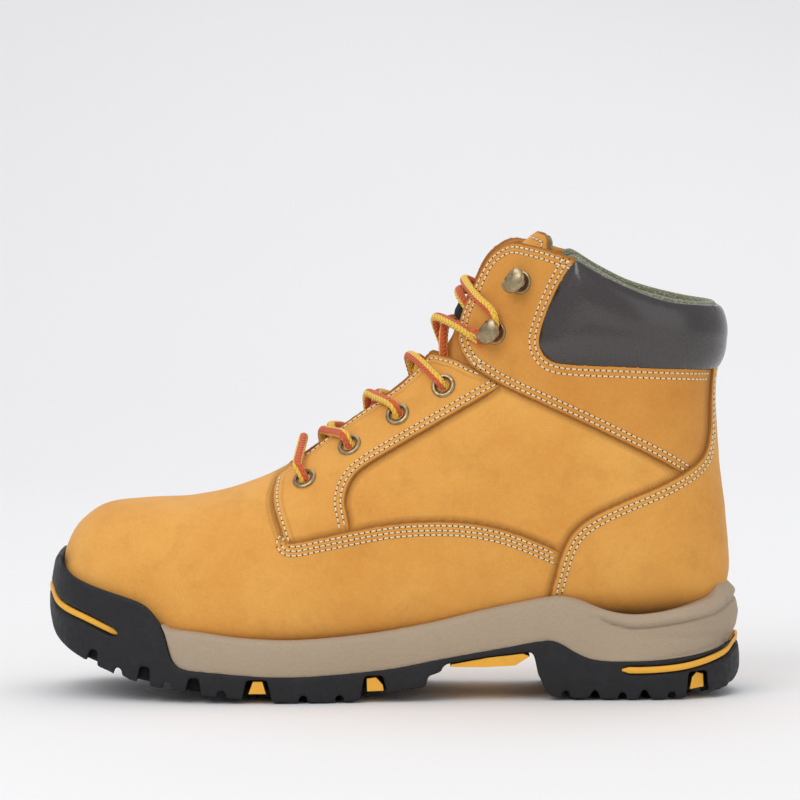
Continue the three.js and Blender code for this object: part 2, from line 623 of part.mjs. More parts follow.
function tongueSheet(outside, inside) {
  const spread = (from, to, spans) => (
    Array.from({ length: spans + 1 }, (_, i) => from + ((to - from) * i) / spans)
  );
  const lengths = spread(tongueLine.from, tongueLine.to, 13);
  const widths = spread(-1, 1, 8);
  const points = [];
  for (const depth of [outside, inside]) {
    for (const u of lengths) {
      for (const v of widths) points.push(tonguePoint(u, v, depth));
    }
  }
  const [rows, cols] = [lengths.length, widths.length];
  const at = (layerIndex, r, c) => (layerIndex * rows + r) * cols + c;
  const faces = [];
  const quad = (a, b, c, d) => faces.push([a, b, c], [a, c, d]);
  for (let r = 0; r < rows - 1; r += 1) {
    for (let c = 0; c < cols - 1; c += 1) {
      quad(at(0, r, c), at(0, r, c + 1), at(0, r + 1, c + 1), at(0, r + 1, c));
      quad(at(1, r, c), at(1, r + 1, c), at(1, r + 1, c + 1), at(1, r, c + 1));
    }
    quad(at(0, r + 1, 0), at(1, r + 1, 0), at(1, r, 0), at(0, r, 0));
    quad(at(0, r, cols - 1), at(1, r, cols - 1), at(1, r + 1, cols - 1), at(0, r + 1, cols - 1));
  }
  for (let c = 0; c < cols - 1; c += 1) {
    quad(at(0, 0, c), at(1, 0, c), at(1, 0, c + 1), at(0, 0, c + 1));
    quad(at(0, rows - 1, c + 1), at(1, rows - 1, c + 1), at(1, rows - 1, c), at(0, rows - 1, c));
  }
  return fromFaces(points, faces);
}

// ---------------------------------------------------------------- lacing hardware
// Finds the surface point of one side that shows at (x, z) from the side, and its frame.
function placeOn(x, z, sign) {
  let best = { u: 11, angle: 0.6, step: 3 };
  const [goalX, goalZ] = [along(x), up(z)];
  const miss = (u, angle) => {
    const p = aroundOval(offsetSection(u, 0), sign * angle);
    return Math.hypot(p.x - goalX, p.z - goalZ);
  };
  for (let round = 0; round < 26; round += 1) {
    const { u, angle, step } = best;
    const shares = [-1, -0.5, 0, 0.5, 1];
    const tryAt = (a, b) => ({ u: u + a * step, angle: Math.abs(angle + b * step * 0.25) });
    const tries = shares.flatMap((a) => shares.map((b) => tryAt(a, b)));
    const inside = tries.filter((t) => t.u > 5 && t.u < 18.9 && t.angle < 1.6);
    const near = inside.reduce((m, t) => (miss(t.u, t.angle) < miss(m.u, m.angle) ? t : m));
    best = { ...near, step: step * 0.72 };
  }
  const point = (u, angle) => aroundOval(offsetSection(u, 0), sign * angle);
  const at = point(best.u, best.angle);
  const alongSeam = point(best.u + 0.05, best.angle).sub(point(best.u - 0.05, best.angle)).normalize();
  const around = point(best.u, best.angle - 0.02).sub(point(best.u, best.angle + 0.02)).normalize();
  const normal = new THREE.Vector3().crossVectors(around, alongSeam).normalize();
  if (normal.y * sign < 0) normal.negate();
  const toThroat = around.clone().sub(normal.clone().multiplyScalar(around.dot(normal))).normalize();
  const third = new THREE.Vector3().crossVectors(toThroat, normal);
  const turn = new THREE.Matrix4().makeBasis(toThroat, normal, third);
  return { at, normal, toThroat, turn, sign };
}

const sides = [['lateral', -1], ['medial', 1]];
const framesFor = (kind, places) => sides.flatMap(([side, sign]) => (
  places.map(([x, z], i) => ({ name: `${kind}_${side}_${i + 1}`, side, ...placeOn(x, z, sign) }))
));
const eyeletFrames = framesFor('eyelet', eyeletPlaces);
const hookFrames = framesFor('speed_hook', hookPlaces);

function lathe(profile, segments = 10) {
  return new THREE.LatheGeometry(profile.map((p) => new THREE.Vector2(p[0], p[1])), segments);
}

// Height 0 is the leather's outer face.
function eyeletGeometry() {
  const { hole, wall, flange, flangeThick, frontGap, backGap, back, backThick } = eyelet;
  const top = frontGap + flangeThick;
  const backTop = -leather - backGap;
  const profile = [
    [hole, backTop - backThick], [back, backTop - backThick], [back, backTop], [hole + wall, backTop],
    [hole + wall, frontGap], [flange, frontGap], [flange - 0.4, top], [hole, top],
    [hole, backTop - backThick],
  ];
  return lathe(profile);
}

function drill(frame, radius) {
  const cylinder = new THREE.CylinderGeometry(radius, radius, 14, 10);
  cylinder.applyMatrix4(frame.turn);
  cylinder.translate(frame.at.x, frame.at.y, frame.at.z);
  return toSolid(cylinder);
}

// A panel with a hole for each of the frames on its side.
function drilled(panel, frames, name, radius) {
  const own = frames.filter((frame) => frame.side === name);
  return largest(own.reduce((body, frame) => body.subtract(drill(frame, radius)), panel));
}

// In the hook's own frame: +X towards the throat, +Y out of the leather.
function hookGeometry() {
  const { base, plate, height, cap, rivet } = hook;
  const disc = toSolid(new THREE.CylinderGeometry(base, base, plate, 12).translate(0, gap + plate / 2, 0));
  const bore = toSolid(new THREE.CylinderGeometry(rivet + gap, rivet + gap, 6, 10));
  const capTop = gap + plate + height;
  const neckHeight = capTop - gap;
  const neckBox = new THREE.BoxGeometry(1.3, neckHeight, 5.4);
  neckBox.translate(base - 1.2, gap + neckHeight / 2, 0);
  const shape = new THREE.Shape();
  shape.absellipse(0, 0, 5.2, 6, Math.PI * 0.3, Math.PI * 1.7, false);
  shape.quadraticCurveTo(1.9, 0, 3.05, 4.85);
  const plateTop = new THREE.ExtrudeGeometry(shape, { depth: cap, bevelEnabled: false, curveSegments: 5 });
  plateTop.rotateX(Math.PI / 2);
  plateTop.translate(base - 4.4, capTop, 0);
  return toGeometry(disc.add(toSolid(neckBox)).add(toSolid(plateTop)).subtract(bore));
}

function rivetGeometry() {
  const { plate, rivet, rivetHead } = hook;
  const seat = gap + plate + gap;
  const back = -leather - eyelet.backGap;
  return lathe([
    [0, back - rivetBack.thick], [rivetBack.radius, back - rivetBack.thick], [rivetBack.radius, back],
    [rivet, back], [rivet, seat], [rivetHead, seat],
    [rivetHead * 0.7, seat + 0.5], [0, seat + 0.6],
  ]);
}

// ---------------------------------------------------------------- lace
// A curve that is stepped from one route point to the next, so that it bends where the points are.
class LaceLine extends THREE.CatmullRomCurve3 {
  getPointAt(t, target) {
    return this.getPoint(t, target);
  }

  getTangentAt(t, target) {
    return this.getTangent(t, target);
  }
}

function laceGeometry() {
  const path = new LaceLine(laceRoute.map((p) => new THREE.Vector3(...p)), false, 'centripetal');
  const corners = Array.from({ length: lace.sides }, (_, i) => {
    const angle = (2 * Math.PI * i) / lace.sides;
    return new THREE.Vector2(lace.radius * Math.cos(angle), lace.radius * Math.sin(angle));
  });
  const section = new THREE.Shape(corners);
  const steps = laceRoute.length - 1;
  return new THREE.ExtrudeGeometry(section, { steps, extrudePath: path, bevelEnabled: false });
}

// A tip hangs straight down from its end of the lace.
function agletAt(end) {
  const geometry = new THREE.CylinderGeometry(agletRadius, agletRadius * 0.85, agletLength, 10);
  geometry.rotateX(Math.PI / 2);
  geometry.translate(end[0], end[1], end[2] - gap - agletLength / 2);
  return geometry;
}

// ---------------------------------------------------------------- materials
function finish(color, roughness, metalness = 0) {
  return new THREE.MeshStandardMaterial({ color, roughness, metalness });
}
const nubuck = () => finish(0xd9a05a, 0.85);
const hardware = () => finish(0x7d735a, 0.4, 0.9);

const boot = new THREE.Group();
function add(name, geometry, material, frame) {
  const mesh = new THREE.Mesh(geometry, material);
  mesh.name = name;
  if (frame) {
    mesh.position.copy(frame.at);
    mesh.quaternion.setFromRotationMatrix(frame.turn);
  }
  boot.add(mesh);
}
const addSolid = (name, body, material) => add(name, toGeometry(body), material);

// ---------------------------------------------------------------- assembly
addSolid('outsole', outsole, finish(0x2e2e2e, 0.7));
addSolid('midsole', midsole, finish(0xa5947c, 0.75));
addSolid('toe_stripe', stripe(toeStripe), finish(0xf0b93c, 0.6));
addSolid('heel_stripe', stripe(heelStripe), finish(0xf0b93c, 0.6));
addSolid('arch_plate', archPlate, finish(0xf0b93c, 0.6));
for (const [name, points] of Object.entries(inlays)) {
  const [lateral, medial] = inlayPair(points);
  addSolid(`${name}_lateral`, lateral, finish(0xf0b93c, 0.6));
  addSolid(`${name}_medial`, medial, finish(0xf0b93c, 0.6));
}
addSolid('insole_board', board, finish(0xb9a27e, 0.9));
addSolid('steel_shank', largest(shankBlank(0)), finish(0x8d9196, 0.4, 1));
addSolid('footbed', footbed, finish(0x3a3d40, 0.95));
addSolid('steel_toe_cap', toeCap, finish(0x9a9da1, 0.35, 1));
addSolid('heel_counter', heelCounter, finish(0x8a7a64, 0.8));
addSolid('lining', lining, finish(0xaaaa8c, 0.95));
addSolid('vamp', vamp, nubuck());
addSolid('heel_panel', heelPanel, nubuck());
addSolid('collar_pad', collarPad, finish(0x2f2623, 0.35));

for (const [name] of sides) {
  const stay = drilled(eyestay(name), eyeletFrames, name, eyelet.hole + eyelet.wall + gap);
  const panel = drilled(hookstay(name), hookFrames, name, hook.rivet + gap);
  addSolid(`eyestay_${name}`, stay, nubuck());
  addSolid(`hookstay_${name}`, panel, nubuck());
  addSolid(`quarter_${name}`, quarter(name), nubuck());
}

addSolid('tongue_face', tongueSheet(0, tongueFace), nubuck());
const liningStart = tongueFace + gap;
addSolid('tongue_lining', tongueSheet(liningStart, liningStart + tongueLining), finish(0xaaaa8c, 0.95));

for (const frame of eyeletFrames) add(frame.name, eyeletGeometry(), hardware(), frame);
for (const frame of hookFrames) {
  add(frame.name, hookGeometry(), hardware(), frame);
  add(frame.name.replace('speed_hook', 'hook_rivet'), rivetGeometry(), hardware(), frame);
}

add('lace', laceGeometry(), finish(0xf0c437, 0.8));
add('lace_tip_medial', agletAt(laceRoute[0]), finish(0xd9a02e, 0.4));
add('lace_tip_lateral', agletAt(laceRoute[laceRoute.length - 1]), finish(0xd9a02e, 0.4));

export default boot;
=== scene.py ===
"""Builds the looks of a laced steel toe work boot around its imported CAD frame."""
import math

import bmesh
import bpy
import numpy as np
from mathutils import Matrix, Vector
from mathutils.kdtree import KDTree


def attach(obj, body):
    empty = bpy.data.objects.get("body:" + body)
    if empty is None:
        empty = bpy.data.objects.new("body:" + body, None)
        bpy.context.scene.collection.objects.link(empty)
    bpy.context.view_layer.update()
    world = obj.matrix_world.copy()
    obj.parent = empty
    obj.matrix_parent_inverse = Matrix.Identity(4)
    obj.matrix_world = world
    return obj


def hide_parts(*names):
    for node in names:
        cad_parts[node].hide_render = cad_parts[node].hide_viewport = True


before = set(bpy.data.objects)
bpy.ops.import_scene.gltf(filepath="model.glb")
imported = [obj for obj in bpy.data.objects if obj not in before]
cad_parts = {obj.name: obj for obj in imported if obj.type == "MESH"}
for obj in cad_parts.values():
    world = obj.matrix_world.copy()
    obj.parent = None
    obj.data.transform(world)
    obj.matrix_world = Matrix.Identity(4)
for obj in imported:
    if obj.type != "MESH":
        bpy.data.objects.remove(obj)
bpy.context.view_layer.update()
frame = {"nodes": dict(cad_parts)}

bl_info = {
    "name": "Laced Work Boot",
    "version": (1, 0, 0),
    "blender": (4, 5, 0),
    "location": "View3D > Sidebar > Boot",
    "description": "Makes the leather, stitching, sole, hardware and lace of a work boot",
    "category": "Add Mesh",
}

# Lengths in the pattern below are millimetres. -X is the toe, -Y the outer side, Z is up.
MM = 0.001
SIDES = (("lateral", -1), ("medial", 1))

# ------------------------------------------------------------------ pattern of the upper
# front x, front z, back x, back z, half width, centre y, height of the widest point,
# squareness of the front half, squareness of the bottom half
SECTIONS = np.array([
    [-149.6, 43, -149.6, 41, 0, 9, 0.5, 2.3, 2.6],
    [-149, 50.5, -148.4, 33, 14, 9, 0.48, 2.3, 2.6],
    [-146.8, 64, -145.5, 27.5, 23.5, 8.5, 0.44, 2.3, 2.7],
    [-140.5, 75.3, -140, 24.5, 32.5, 8, 0.4, 2.3, 2.8],
    [-129, 83.4, -130, 22.5, 40, 7, 0.37, 2.3, 2.9],
    [-112, 85.7, -112, 20.5, 46, 5, 0.35, 2.3, 3],
    [-89, 87.3, -88, 18.5, 50, 2.5, 0.34, 2.25, 3],
    [-66, 93, -64, 17.5, 51, 0.5, 0.33, 2.1, 3],
    [-44, 103.5, -38, 18, 48.5, -1, 0.32, 1.9, 3],
    [-19, 123.3, -6, 20.5, 44, -2, 0.31, 1.78, 3],
    [3, 142, 32, 25.5, 41, -2, 0.32, 1.75, 2.9],
    [14.5, 156.5, 75, 30.2, 39, -1.5, 0.35, 1.78, 2.7],
    [21.5, 167.5, 118, 31, 38, -1, 0.4, 1.85, 2.5],
    [25.5, 175, 140, 35, 38, -0.5, 0.44, 1.95, 2.4],
    [28.5, 181.5, 149.3, 52, 38.5, 0, 0.47, 2.1, 2.35],
    [32.5, 189.5, 148, 79, 38.5, 0, 0.48, 2.1, 2.3],
    [38, 198.5, 145, 105, 39, 0, 0.48, 2.1, 2.25],
    [44.5, 208, 143.4, 132, 40, 0, 0.48, 2.1, 2.2],
    [52, 218, 144.5, 158, 41, 0, 0.48, 2.1, 2.2],
    [60, 228, 147, 188, 42, 0, 0.48, 2.1, 2.2],
])
LAST = len(SECTIONS) - 1

FLOOR_LINE = np.array([
    [-170, 28], [-140, 24.5], [-112, 20.5], [-88, 18.5], [-64, 17.5], [-38, 18], [-6, 20.5],
    [32, 25.5], [60, 29], [90, 31], [118, 31], [170, 33],
])
TAB_EDGE = [
    [-48, 69.5], [-50.5, 76.5], [-53, 84], [-53.5, 90], [-51.5, 96.5], [-46, 101], [-40, 112],
]
EYESTAY_REAR = [
    [-18.5, 72], [-20.5, 82], [-21.5, 88], [-19.5, 95], [-14, 101.5], [3, 112], [34, 130], [52, 141],
]
EYESTAY_TOP = [[0, 160], [11, 153.5], [20.8, 150.8], [28, 149.3], [34.5, 146.5], [44, 143.5]]
WING_TOP = [[-48, 69.5], [-41.5, 70.3], [-19, 75], [3, 78.6], [29, 79], [51, 75], [74.5, 65.5]]
HEEL_FRONT = [
    [67.5, 20], [69, 45.5], [71, 55], [74.5, 66.5], [79, 74.5], [87, 81], [100, 87.5], [118, 95],
    [131, 102], [137.5, 108.5], [139.7, 118.5], [140, 132], [141.2, 146],
]
HOOKSTAY_FRONT = [
    [34.5, 146.5], [30.5, 152], [28.7, 160], [30.5, 169], [34.5, 178], [38.5, 187], [42.5, 194],
    [47, 198.3], [52.5, 201.2], [58, 201], [67, 199], [80, 194.8],
]
HOOKSTAY_LOWER = [[34.5, 146.5], [47, 139], [65, 131], [87, 121], [113, 108], [127, 99.8], [135, 95]]
COLLAR_LOWER = [
    [80, 194], [74, 184], [69, 173], [65.4, 162], [65.2, 156], [69, 151], [78, 149.2], [100, 148.3],
    [126, 147], [141.5, 145.8], [160, 145],
]
COLLAR_TOP = [
    [80, 194], [91.5, 187], [109, 179], [122, 175], [135.5, 173.3], [143, 172.3], [147.5, 168.5],
    [149.5, 162], [160, 160],
]
LINING_TOP = [[76, 196.3], [80, 195], [91.5, 188], [109, 180], [135, 174.4], [160, 173.6]]
LINING_FRONT = [
    [-62, 110], [-61, 95], [-56, 83], [-45, 77], [-32, 80], [-8, 98], [16, 112], [40, 126],
    [58, 142], [66, 160], [72, 182], [76, 196.3],
]
THROAT_CENTRE = -1.5
THROAT_EDGE = np.array([[-62, 8], [-30, 8], [0, 10.5], [25, 11.5], [36, 14], [90, 14], [97, -90]])

# ------------------------------------------------------------------ pattern of the sole
SOLE_PLAN = [
    [-155, 9], [-153.4, -6], [-150, -18], [-143, -29], [-131, -38.5], [-113, -46], [-88, -52.8],
    [-62, -55], [-38, -53.8], [-6, -49], [32, -44], [75, -41.5], [110, -41], [132, -37],
    [146, -26], [153, -12], [155, 1], [153, 14], [146, 28], [132, 37.5], [110, 41], [75, 40],
    [40, 39], [10, 41], [-20, 47], [-50, 52.2], [-80, 54.6], [-105, 55], [-125, 53.2],
    [-140, 48], [-149.5, 37], [-153.6, 23],
]
MIDSOLE_TOP = [
    [-103.3, 35], [-99, 32.3], [-85.5, 30.8], [-66, 28.4], [-41.5, 27.6], [-10.5, 30], [16, 34.3],
    [38, 39.5], [60.5, 44.2], [69, 45.6], [75, 45.8], [82.5, 44], [92, 40.2], [102, 38], [113, 38],
    [128, 40.3], [144, 44], [148.3, 47.5], [149.3, 50.4],
]
MIDSOLE_BACK = [[149.3, 50.4], [152, 46], [154.3, 40], [154.6, 36], [153.6, 30], [152.3, 27]]
MIDSOLE_BOTTOM = [
    [152.3, 27], [147, 23], [135.5, 19.8], [118, 17.6], [100, 17.2], [88, 18], [80, 21.2], [74, 24.8],
    [67, 26.4], [47, 23], [20.5, 18.5], [-3, 14.4], [-32, 12], [-55, 11.6], [-80, 13.4], [-92, 14.6],
    [-97, 17.5], [-99.3, 22.5], [-100.8, 28.5], [-103.3, 35],
]
HEEL_CREASE = [
    [91, 36.3], [96.4, 33.6], [104.4, 31.8], [113, 32], [126.5, 33.8], [141.9, 36.7], [150, 40.7],
    [156, 43.5],
]
BUMPER_TOP = [
    [-158, 63.5], [-148.6, 62.5], [-147, 57.5], [-142, 53.3], [-133, 49.8], [-122, 46.6],
    [-112.5, 43.6], [-107.5, 40.2], [-103.3, 35],
]
TOE_PROFILE = [
    [-148.6, 62.5], [-151.5, 59.5], [-153.3, 53], [-154.6, 46], [-154.6, 39], [-153.3, 32.5],
    [-150.2, 26], [-143, 20.3], [-132.5, 15.2],
]
BALL_BOTTOM = [
    [-132.5, 15.2], [-113, 8.3], [-90.5, 4], [-67, 1.6], [-50, 0.3], [-36, 0], [-28, 0],
    [-18, 0.4], [-4, 3.8], [14, 6.4],
]
ARCH_BOTTOM = [[15.2, 11], [20.5, 13], [24, 16.4], [42, 19.4], [57.5, 21], [61.5, 20.2], [63.5, 12]]
HEEL_BOTTOM = [
    [67.5, 3.2], [73, 1.1], [90, 0.4], [104, 0], [118, 0], [130, 0.7], [146.5, 3.4], [151.5, 6],
    [154.3, 10], [155, 14], [153.8, 22],
]
LUG_NOTCHES = [
    [[-137.5, 12], [-134.5, 22], [-131, 22], [-131.5, 12]],
    [[-114.5, 4], [-112, 15.5], [-108, 15.5], [-107.5, 3]],
    [[-93.5, 0], [-90, 11], [-86, 11], [-84.5, 0]],
    [[-67.5, -2], [-65, 10.3], [-56, 10.3], [-53, -2]],
    [[-15.5, -2], [-13, 11.6], [-5, 11.6], [-1.5, -2]],
    [[84, -2], [89, 5.2], [92.5, -2]],
    [[107, -2], [110.5, 5.6], [115.5, -2]],
    [[129, -2], [130.5, 12], [138.5, 12.4], [140, -2]],
    [[147.5, 1], [149.5, 6.5], [152.5, 3]],
]
LUG_DEPTH = 14
TREAD_GROOVES = [-122, -100, -76, -59.5, -40, -24, -8.5, 76, 89, 101, 111, 123, 134.5]
TOE_STRIPE = [[-158, 47.8], [-154, 45.8], [-151, 41.8], [-146, 39], [-138, 36], [-129, 32.2], [-122, 29]]
HEEL_STRIPE = [
    [100.5, 13.4], [109, 13.2], [120, 13.7], [130, 14.9], [141, 17.4], [149, 20.2], [153, 23.6],
    [158, 27],
]
ARCH_PLATE = [[24.8, 15], [25, 16], [42, 19], [57, 20.6], [60, 19.4], [53.5, 15.4], [40, 14.8]]

# ------------------------------------------------------------------ tongue, hardware and lace
TONGUE_FROM, TONGUE_TO = 7.45, 17.75
TONGUE_MIDDLE = np.array([
    [7.4, -2.4], [8.2, -8.2], [11.6, -8.2], [12.6, -5.4], [14, -5.6], [15, -8], [16.5, -12.5],
    [17.3, -15.5], [17.8, -20],
])
TONGUE_WING = np.array([[7.4, -2.4], [8.2, -9.3], [12, -9.3], [14, -8.8], [16, -10.5], [17.8, -16]])
TONGUE_HALF = np.array([
    [7.4, 14], [8, 17], [9, 21], [10.5, 25], [12, 29], [14, 31.5], [15.5, 32], [16.7, 30],
    [17.3, 29], [17.6, 26], [17.8, 21],
])
EYELET_PLACES = [[-39.4, 96.4], [-19.5, 111.2], [1.8, 125], [22.1, 137.8]]
HOOK_PLACES = [[45, 162], [56, 184.3]]
LACE_ROUTE = [
    [79, 26.8, 94], [79, 27.4, 110], [78.5, 28.2, 126], [77, 28.5, 139], [74, 27.5, 152],
    [68.5, 26, 163], [59, 26, 161], [50, 22, 171.5], [44, 18, 176.5], [37.5, 13, 181], [31.5, -1, 184],
    [36.5, -22, 177.5], [43, -30.5, 171.5], [44.5, -31.5, 166], [43, -31, 162], [39.5, -29, 160],
    [35, -26.5, 162], [37.5, -26.5, 158.5], [28.5, -17.5, 164], [18.5, -2.5, 167], [22.5, 6, 153],
    [24, 13.5, 138.2], [23, 17.8, 136.8], [21.5, 21.3, 138.4], [18.5, 22.5, 141.5], [10.5, 11, 148.5],
    [11, -1.5, 146], [9, -8.5, 138], [4.5, -15.5, 124], [2.5, -20, 124], [1.5, -23, 126],
    [-1, -23.5, 130], [-7.5, -13.5, 132.5], [-12, -2, 132.5], [-11.5, 6, 120], [-16.5, 12.5, 109.5],
    [-18.5, 16.5, 109.5], [-20, 19.5, 112], [-22.5, 19.5, 116.5], [-27.5, 10, 118], [-28, 5, 117.5],
    [-28, -1, 111.8], [-31.5, -9.5, 105], [-36, -19.5, 94], [-38.5, -24, 94.5], [-40, -26.5, 97.5],
    [-42, -26, 101.5], [-43, -24, 103.5], [-41.5, -13.5, 109.5], [-40.5, -1.5, 113.5],
    [-41.5, 12, 109.5], [-43, 21.5, 103.5], [-42, 23.5, 101.5], [-40, 24, 97.5], [-38.5, 21.5, 94.5],
    [-36.5, 17, 94], [-31.5, 5.8, 105], [-32, -2, 116], [-28, -13, 117], [-22.5, -23.5, 116.5],
    [-20, -23.5, 112], [-18.5, -20.5, 109.5], [-16.5, -16.5, 109.5], [-11.5, -9, 121], [-8, -1.5, 128.8],
    [-7, 11, 132.4], [-1, 19.5, 130], [1.5, 19, 126], [2.5, 16, 124], [4.5, 11.5, 124], [9, 5.5, 137],
    [6.5, -2, 149.5], [10.5, -14, 149], [18.5, -26, 142], [21.5, -24.5, 138.5], [23, -21, 137],
    [24, -16.5, 138], [22, -8.5, 152.5], [23, -1, 164], [28, 13.5, 165.5], [36.5, 25, 159],
    [35, 26, 162], [39.5, 28.5, 159.5], [42.5, 30.5, 162], [44, 31.5, 166], [42.5, 30.5, 171.5],
    [36.5, 22, 177.5], [29, -1, 179], [34, -12.5, 170.5], [41, -18, 162], [48, -21.5, 155],
    [58, -26, 156.5], [68.5, -26, 163], [74, -27.5, 152], [77, -28.5, 139], [78.5, -28.2, 126],
    [79, -27.4, 110], [79, -26.8, 94],
]


# ------------------------------------------------------------------ settings that a user can change
def linear(red, green, blue):
    """A colour of 0-255 screen values as linear light."""
    def one(value):
        share = value / 255
        return share / 12.92 if share <= 0.04045 else ((share + 0.055) / 1.055) ** 2.4
    return one(red), one(green), one(blue), 1.0


def size_property(name, about, default):
    """A length setting in metres."""
    return bpy.props.FloatProperty(name=name, description=about, default=default, unit="LENGTH", precision=5)


def colour_property(name, about, default):
    """A colour setting."""
    return bpy.props.FloatVectorProperty(
        name=name, description=about, default=default, size=4, min=0, max=1, subtype="COLOR")


class BOOT_PG_sizes(bpy.types.PropertyGroup):
    """Sizes of the boot's leather, thread and lace."""

    leather: size_property("Leather", "Thickness of the upper's leather", 1.7 * MM)
    lap: size_property("Lap", "How far a panel's edge stands above the panel under it", 1.15 * MM)
    stitch: size_property("Stitch", "Length from one needle hole to the next", 2.6 * MM)
    thread: size_property("Thread", "Diameter of the sewing thread", 0.72 * MM)
    collar_bulge: size_property("Collar bulge", "How far the padded collar stands proud", 4.4 * MM)
    lace: size_property("Lace", "Diameter of the lace", 4.3 * MM)
    aglet: size_property("Aglet", "Length of a lace tip", 22 * MM)


class BOOT_PG_colours(bpy.types.PropertyGroup):
    """Colours of the boot's materials."""

    nubuck: colour_property("Nubuck", "Main leather", linear(224, 154, 70))
    nubuck_light: colour_property("Nubuck, light", "Brushed areas of the leather", linear(240, 178, 90))
    raw_edge: colour_property("Raw edge", "Cut edge of the leather", linear(150, 86, 28))
    thread: colour_property("Thread", "Sewing thread", linear(250, 230, 186))
    rubber: colour_property("Rubber", "Outsole", linear(36, 36, 38))
    accent: colour_property("Accent", "Coloured parts of the sole", linear(242, 176, 52))
    midsole: colour_property("Midsole", "Moulded midsole", linear(176, 157, 133))
    collar: colour_property("Collar", "Padded collar", linear(40, 30, 28))
    brass: colour_property("Brass", "Eyelets and hooks", linear(182, 162, 126))
    mesh: colour_property("Mesh", "Lining fabric", linear(172, 172, 140))
    lace: colour_property("Lace", "Main strands of the lace", linear(252, 208, 60))
    fleck: colour_property("Lace fleck", "Second strands of the lace", linear(222, 92, 36))


def sizes():
    """The boot's size settings."""
    return bpy.context.scene.boot_sizes


def colours():
    """The boot's colour settings."""
    return bpy.context.scene.boot_colours


# ------------------------------------------------------------------ lines and outlines
def smooth_line(points, per_span=6):
    """Points of a smooth open line through the given ones."""
    points = np.array(points, float)
    count = len(points)
    made = []
    for step in range((count - 1) * per_span + 1):
        i = min(step // per_span, count - 2)
        t = step / per_span - i
        a, b, c, d = (points[min(max(k, 0), count - 1)] for k in (i - 1, i, i + 1, i + 2))
        v0, v1 = (c - a) / 2, (d - b) / 2
        made.append((2 * b - 2 * c + v0 + v1) * t**3 + (-3 * b + 3 * c - 2 * v0 - v1) * t**2 + v0 * t + b)
    return np.array(made)


def closed_line(points, per_span=8):
    """Points of a smooth closed line through the given ones."""
    points = np.array(points, float)
    count = len(points)
    made = []
    for i in range(count):
        a, b, c, d = (points[(i + k) % count] for k in (-1, 0, 1, 2))
        v0, v1 = (c - a) / 2, (d - b) / 2
        for step in range(per_span):
            t = step / per_span
            made.append((2 * b - 2 * c + v0 + v1) * t**3 + (-3 * b + 3 * c - 2 * v0 - v1) * t**2 + v0 * t + b)
    return np.array(made)


def join(*lines):
    """Lines joined end to end into one outline, without doubled points."""
    points = np.vstack([np.array(line, float) for line in lines])
    keep = [0]
    for i in range(1, len(points)):
        if np.linalg.norm(points[i] - points[keep[-1]]) > 0.02:
            keep.append(i)
    if np.linalg.norm(points[keep[-1]] - points[0]) < 0.02:
        keep.pop()
    return points[keep]


def grow(outline, distance):
    """A closed outline moved outwards (inwards when distance is negative)."""
    before, after = np.roll(outline, 1, 0), np.roll(outline, -1, 0)
    area = np.sum(outline[:, 0] * after[:, 1] - after[:, 0] * outline[:, 1])
    way = after - before
    normal = np.c_[way[:, 1], -way[:, 0]] * np.sign(area)
    return outline + normal / np.linalg.norm(normal, axis=1)[:, None] * distance


def lowered(line, start, drop):
    """A line brought down by a drop that grows in over 10 mm behind a start."""
    return np.c_[line[:, 0], line[:, 1] - drop * ease((line[:, 0] - start) / 10)]


def ease(value):
    """0 below 0, 1 above 1, smooth between."""
    t = np.clip(value, 0, 1)
    return t * t * (3 - 2 * t)


def inside_distance(points, outline):
    """Distance of each point to a closed outline; negative outside."""
    best = np.full(len(points), 1e9)
    inside = np.zeros(len(points), bool)
    x, y = points.T
    for a, b in zip(outline, np.roll(outline, -1, 0)):
        way = b - a
        t = np.clip(((x - a[0]) * way[0] + (y - a[1]) * way[1]) / max(way @ way, 1e-9), 0, 1)
        best = np.minimum(best, (x - a[0] - t * way[0]) ** 2 + (y - a[1] - t * way[1]) ** 2)
        crosses = (a[1] > y) != (b[1] > y)
        if crosses.any() and a[1] != b[1]:
            inside ^= crosses & (x < a[0] + (y - a[1]) / (b[1] - a[1]) * way[0])
    return np.where(inside, 1, -1) * np.sqrt(best)


def line_distance(points, line):
    """Distance of each point to an open line."""
    best = np.full(len(points), 1e9)
    for a, b in zip(line[:-1], line[1:]):
        way = b - a
        t = np.clip(((points - a) @ way) / max(way @ way, 1e-9), 0, 1)
        best = np.minimum(best, np.sum((points - a - t[:, None] * way) ** 2, axis=1))
    return np.sqrt(best)


FAR = 260
OUTLINES = {
    "vamp": join(
        [[-FAR, -20], [-FAR, 140], [-36, 140]],
        np.array(smooth_line(TAB_EDGE)[::-1]) + [3.0, 0], smooth_line(WING_TOP),
        [[84, 60], [84, -20]]),
    "quarter": np.array(
        [[-30, 55], [-30, 104], [30, 146], [44, 156], [90, 136], [146, 116], [146, 55]], float),
    "eyestay": join(
        [[-44, 60], [-47, 66]], smooth_line(TAB_EDGE), [[-40, 160]], smooth_line(EYESTAY_TOP),
        [[56, 146], [56, 143]], smooth_line(EYESTAY_REAR)[::-1], [[-17, 60]]),
    "hookstay": join(
        smooth_line(HOOKSTAY_FRONT), lowered(smooth_line(COLLAR_TOP)[1:], 82, 5), [[FAR, 155], [FAR, 92]],
        [[142, 90]], smooth_line(HOOKSTAY_LOWER)[::-1]),
    "heel_panel": join(smooth_line(HEEL_FRONT), [[141.4, 150], [FAR, 150], [FAR, -20], [67.5, -20]]),
    "collar_pad": join(smooth_line(COLLAR_LOWER), smooth_line(COLLAR_TOP)[::-1]),
    "lining": join(
        smooth_line(LINING_FRONT), smooth_line(LINING_TOP),
        [[FAR, 173], [FAR, -20], [-FAR, -20], [-FAR, 130], [-62, 130]]),
}
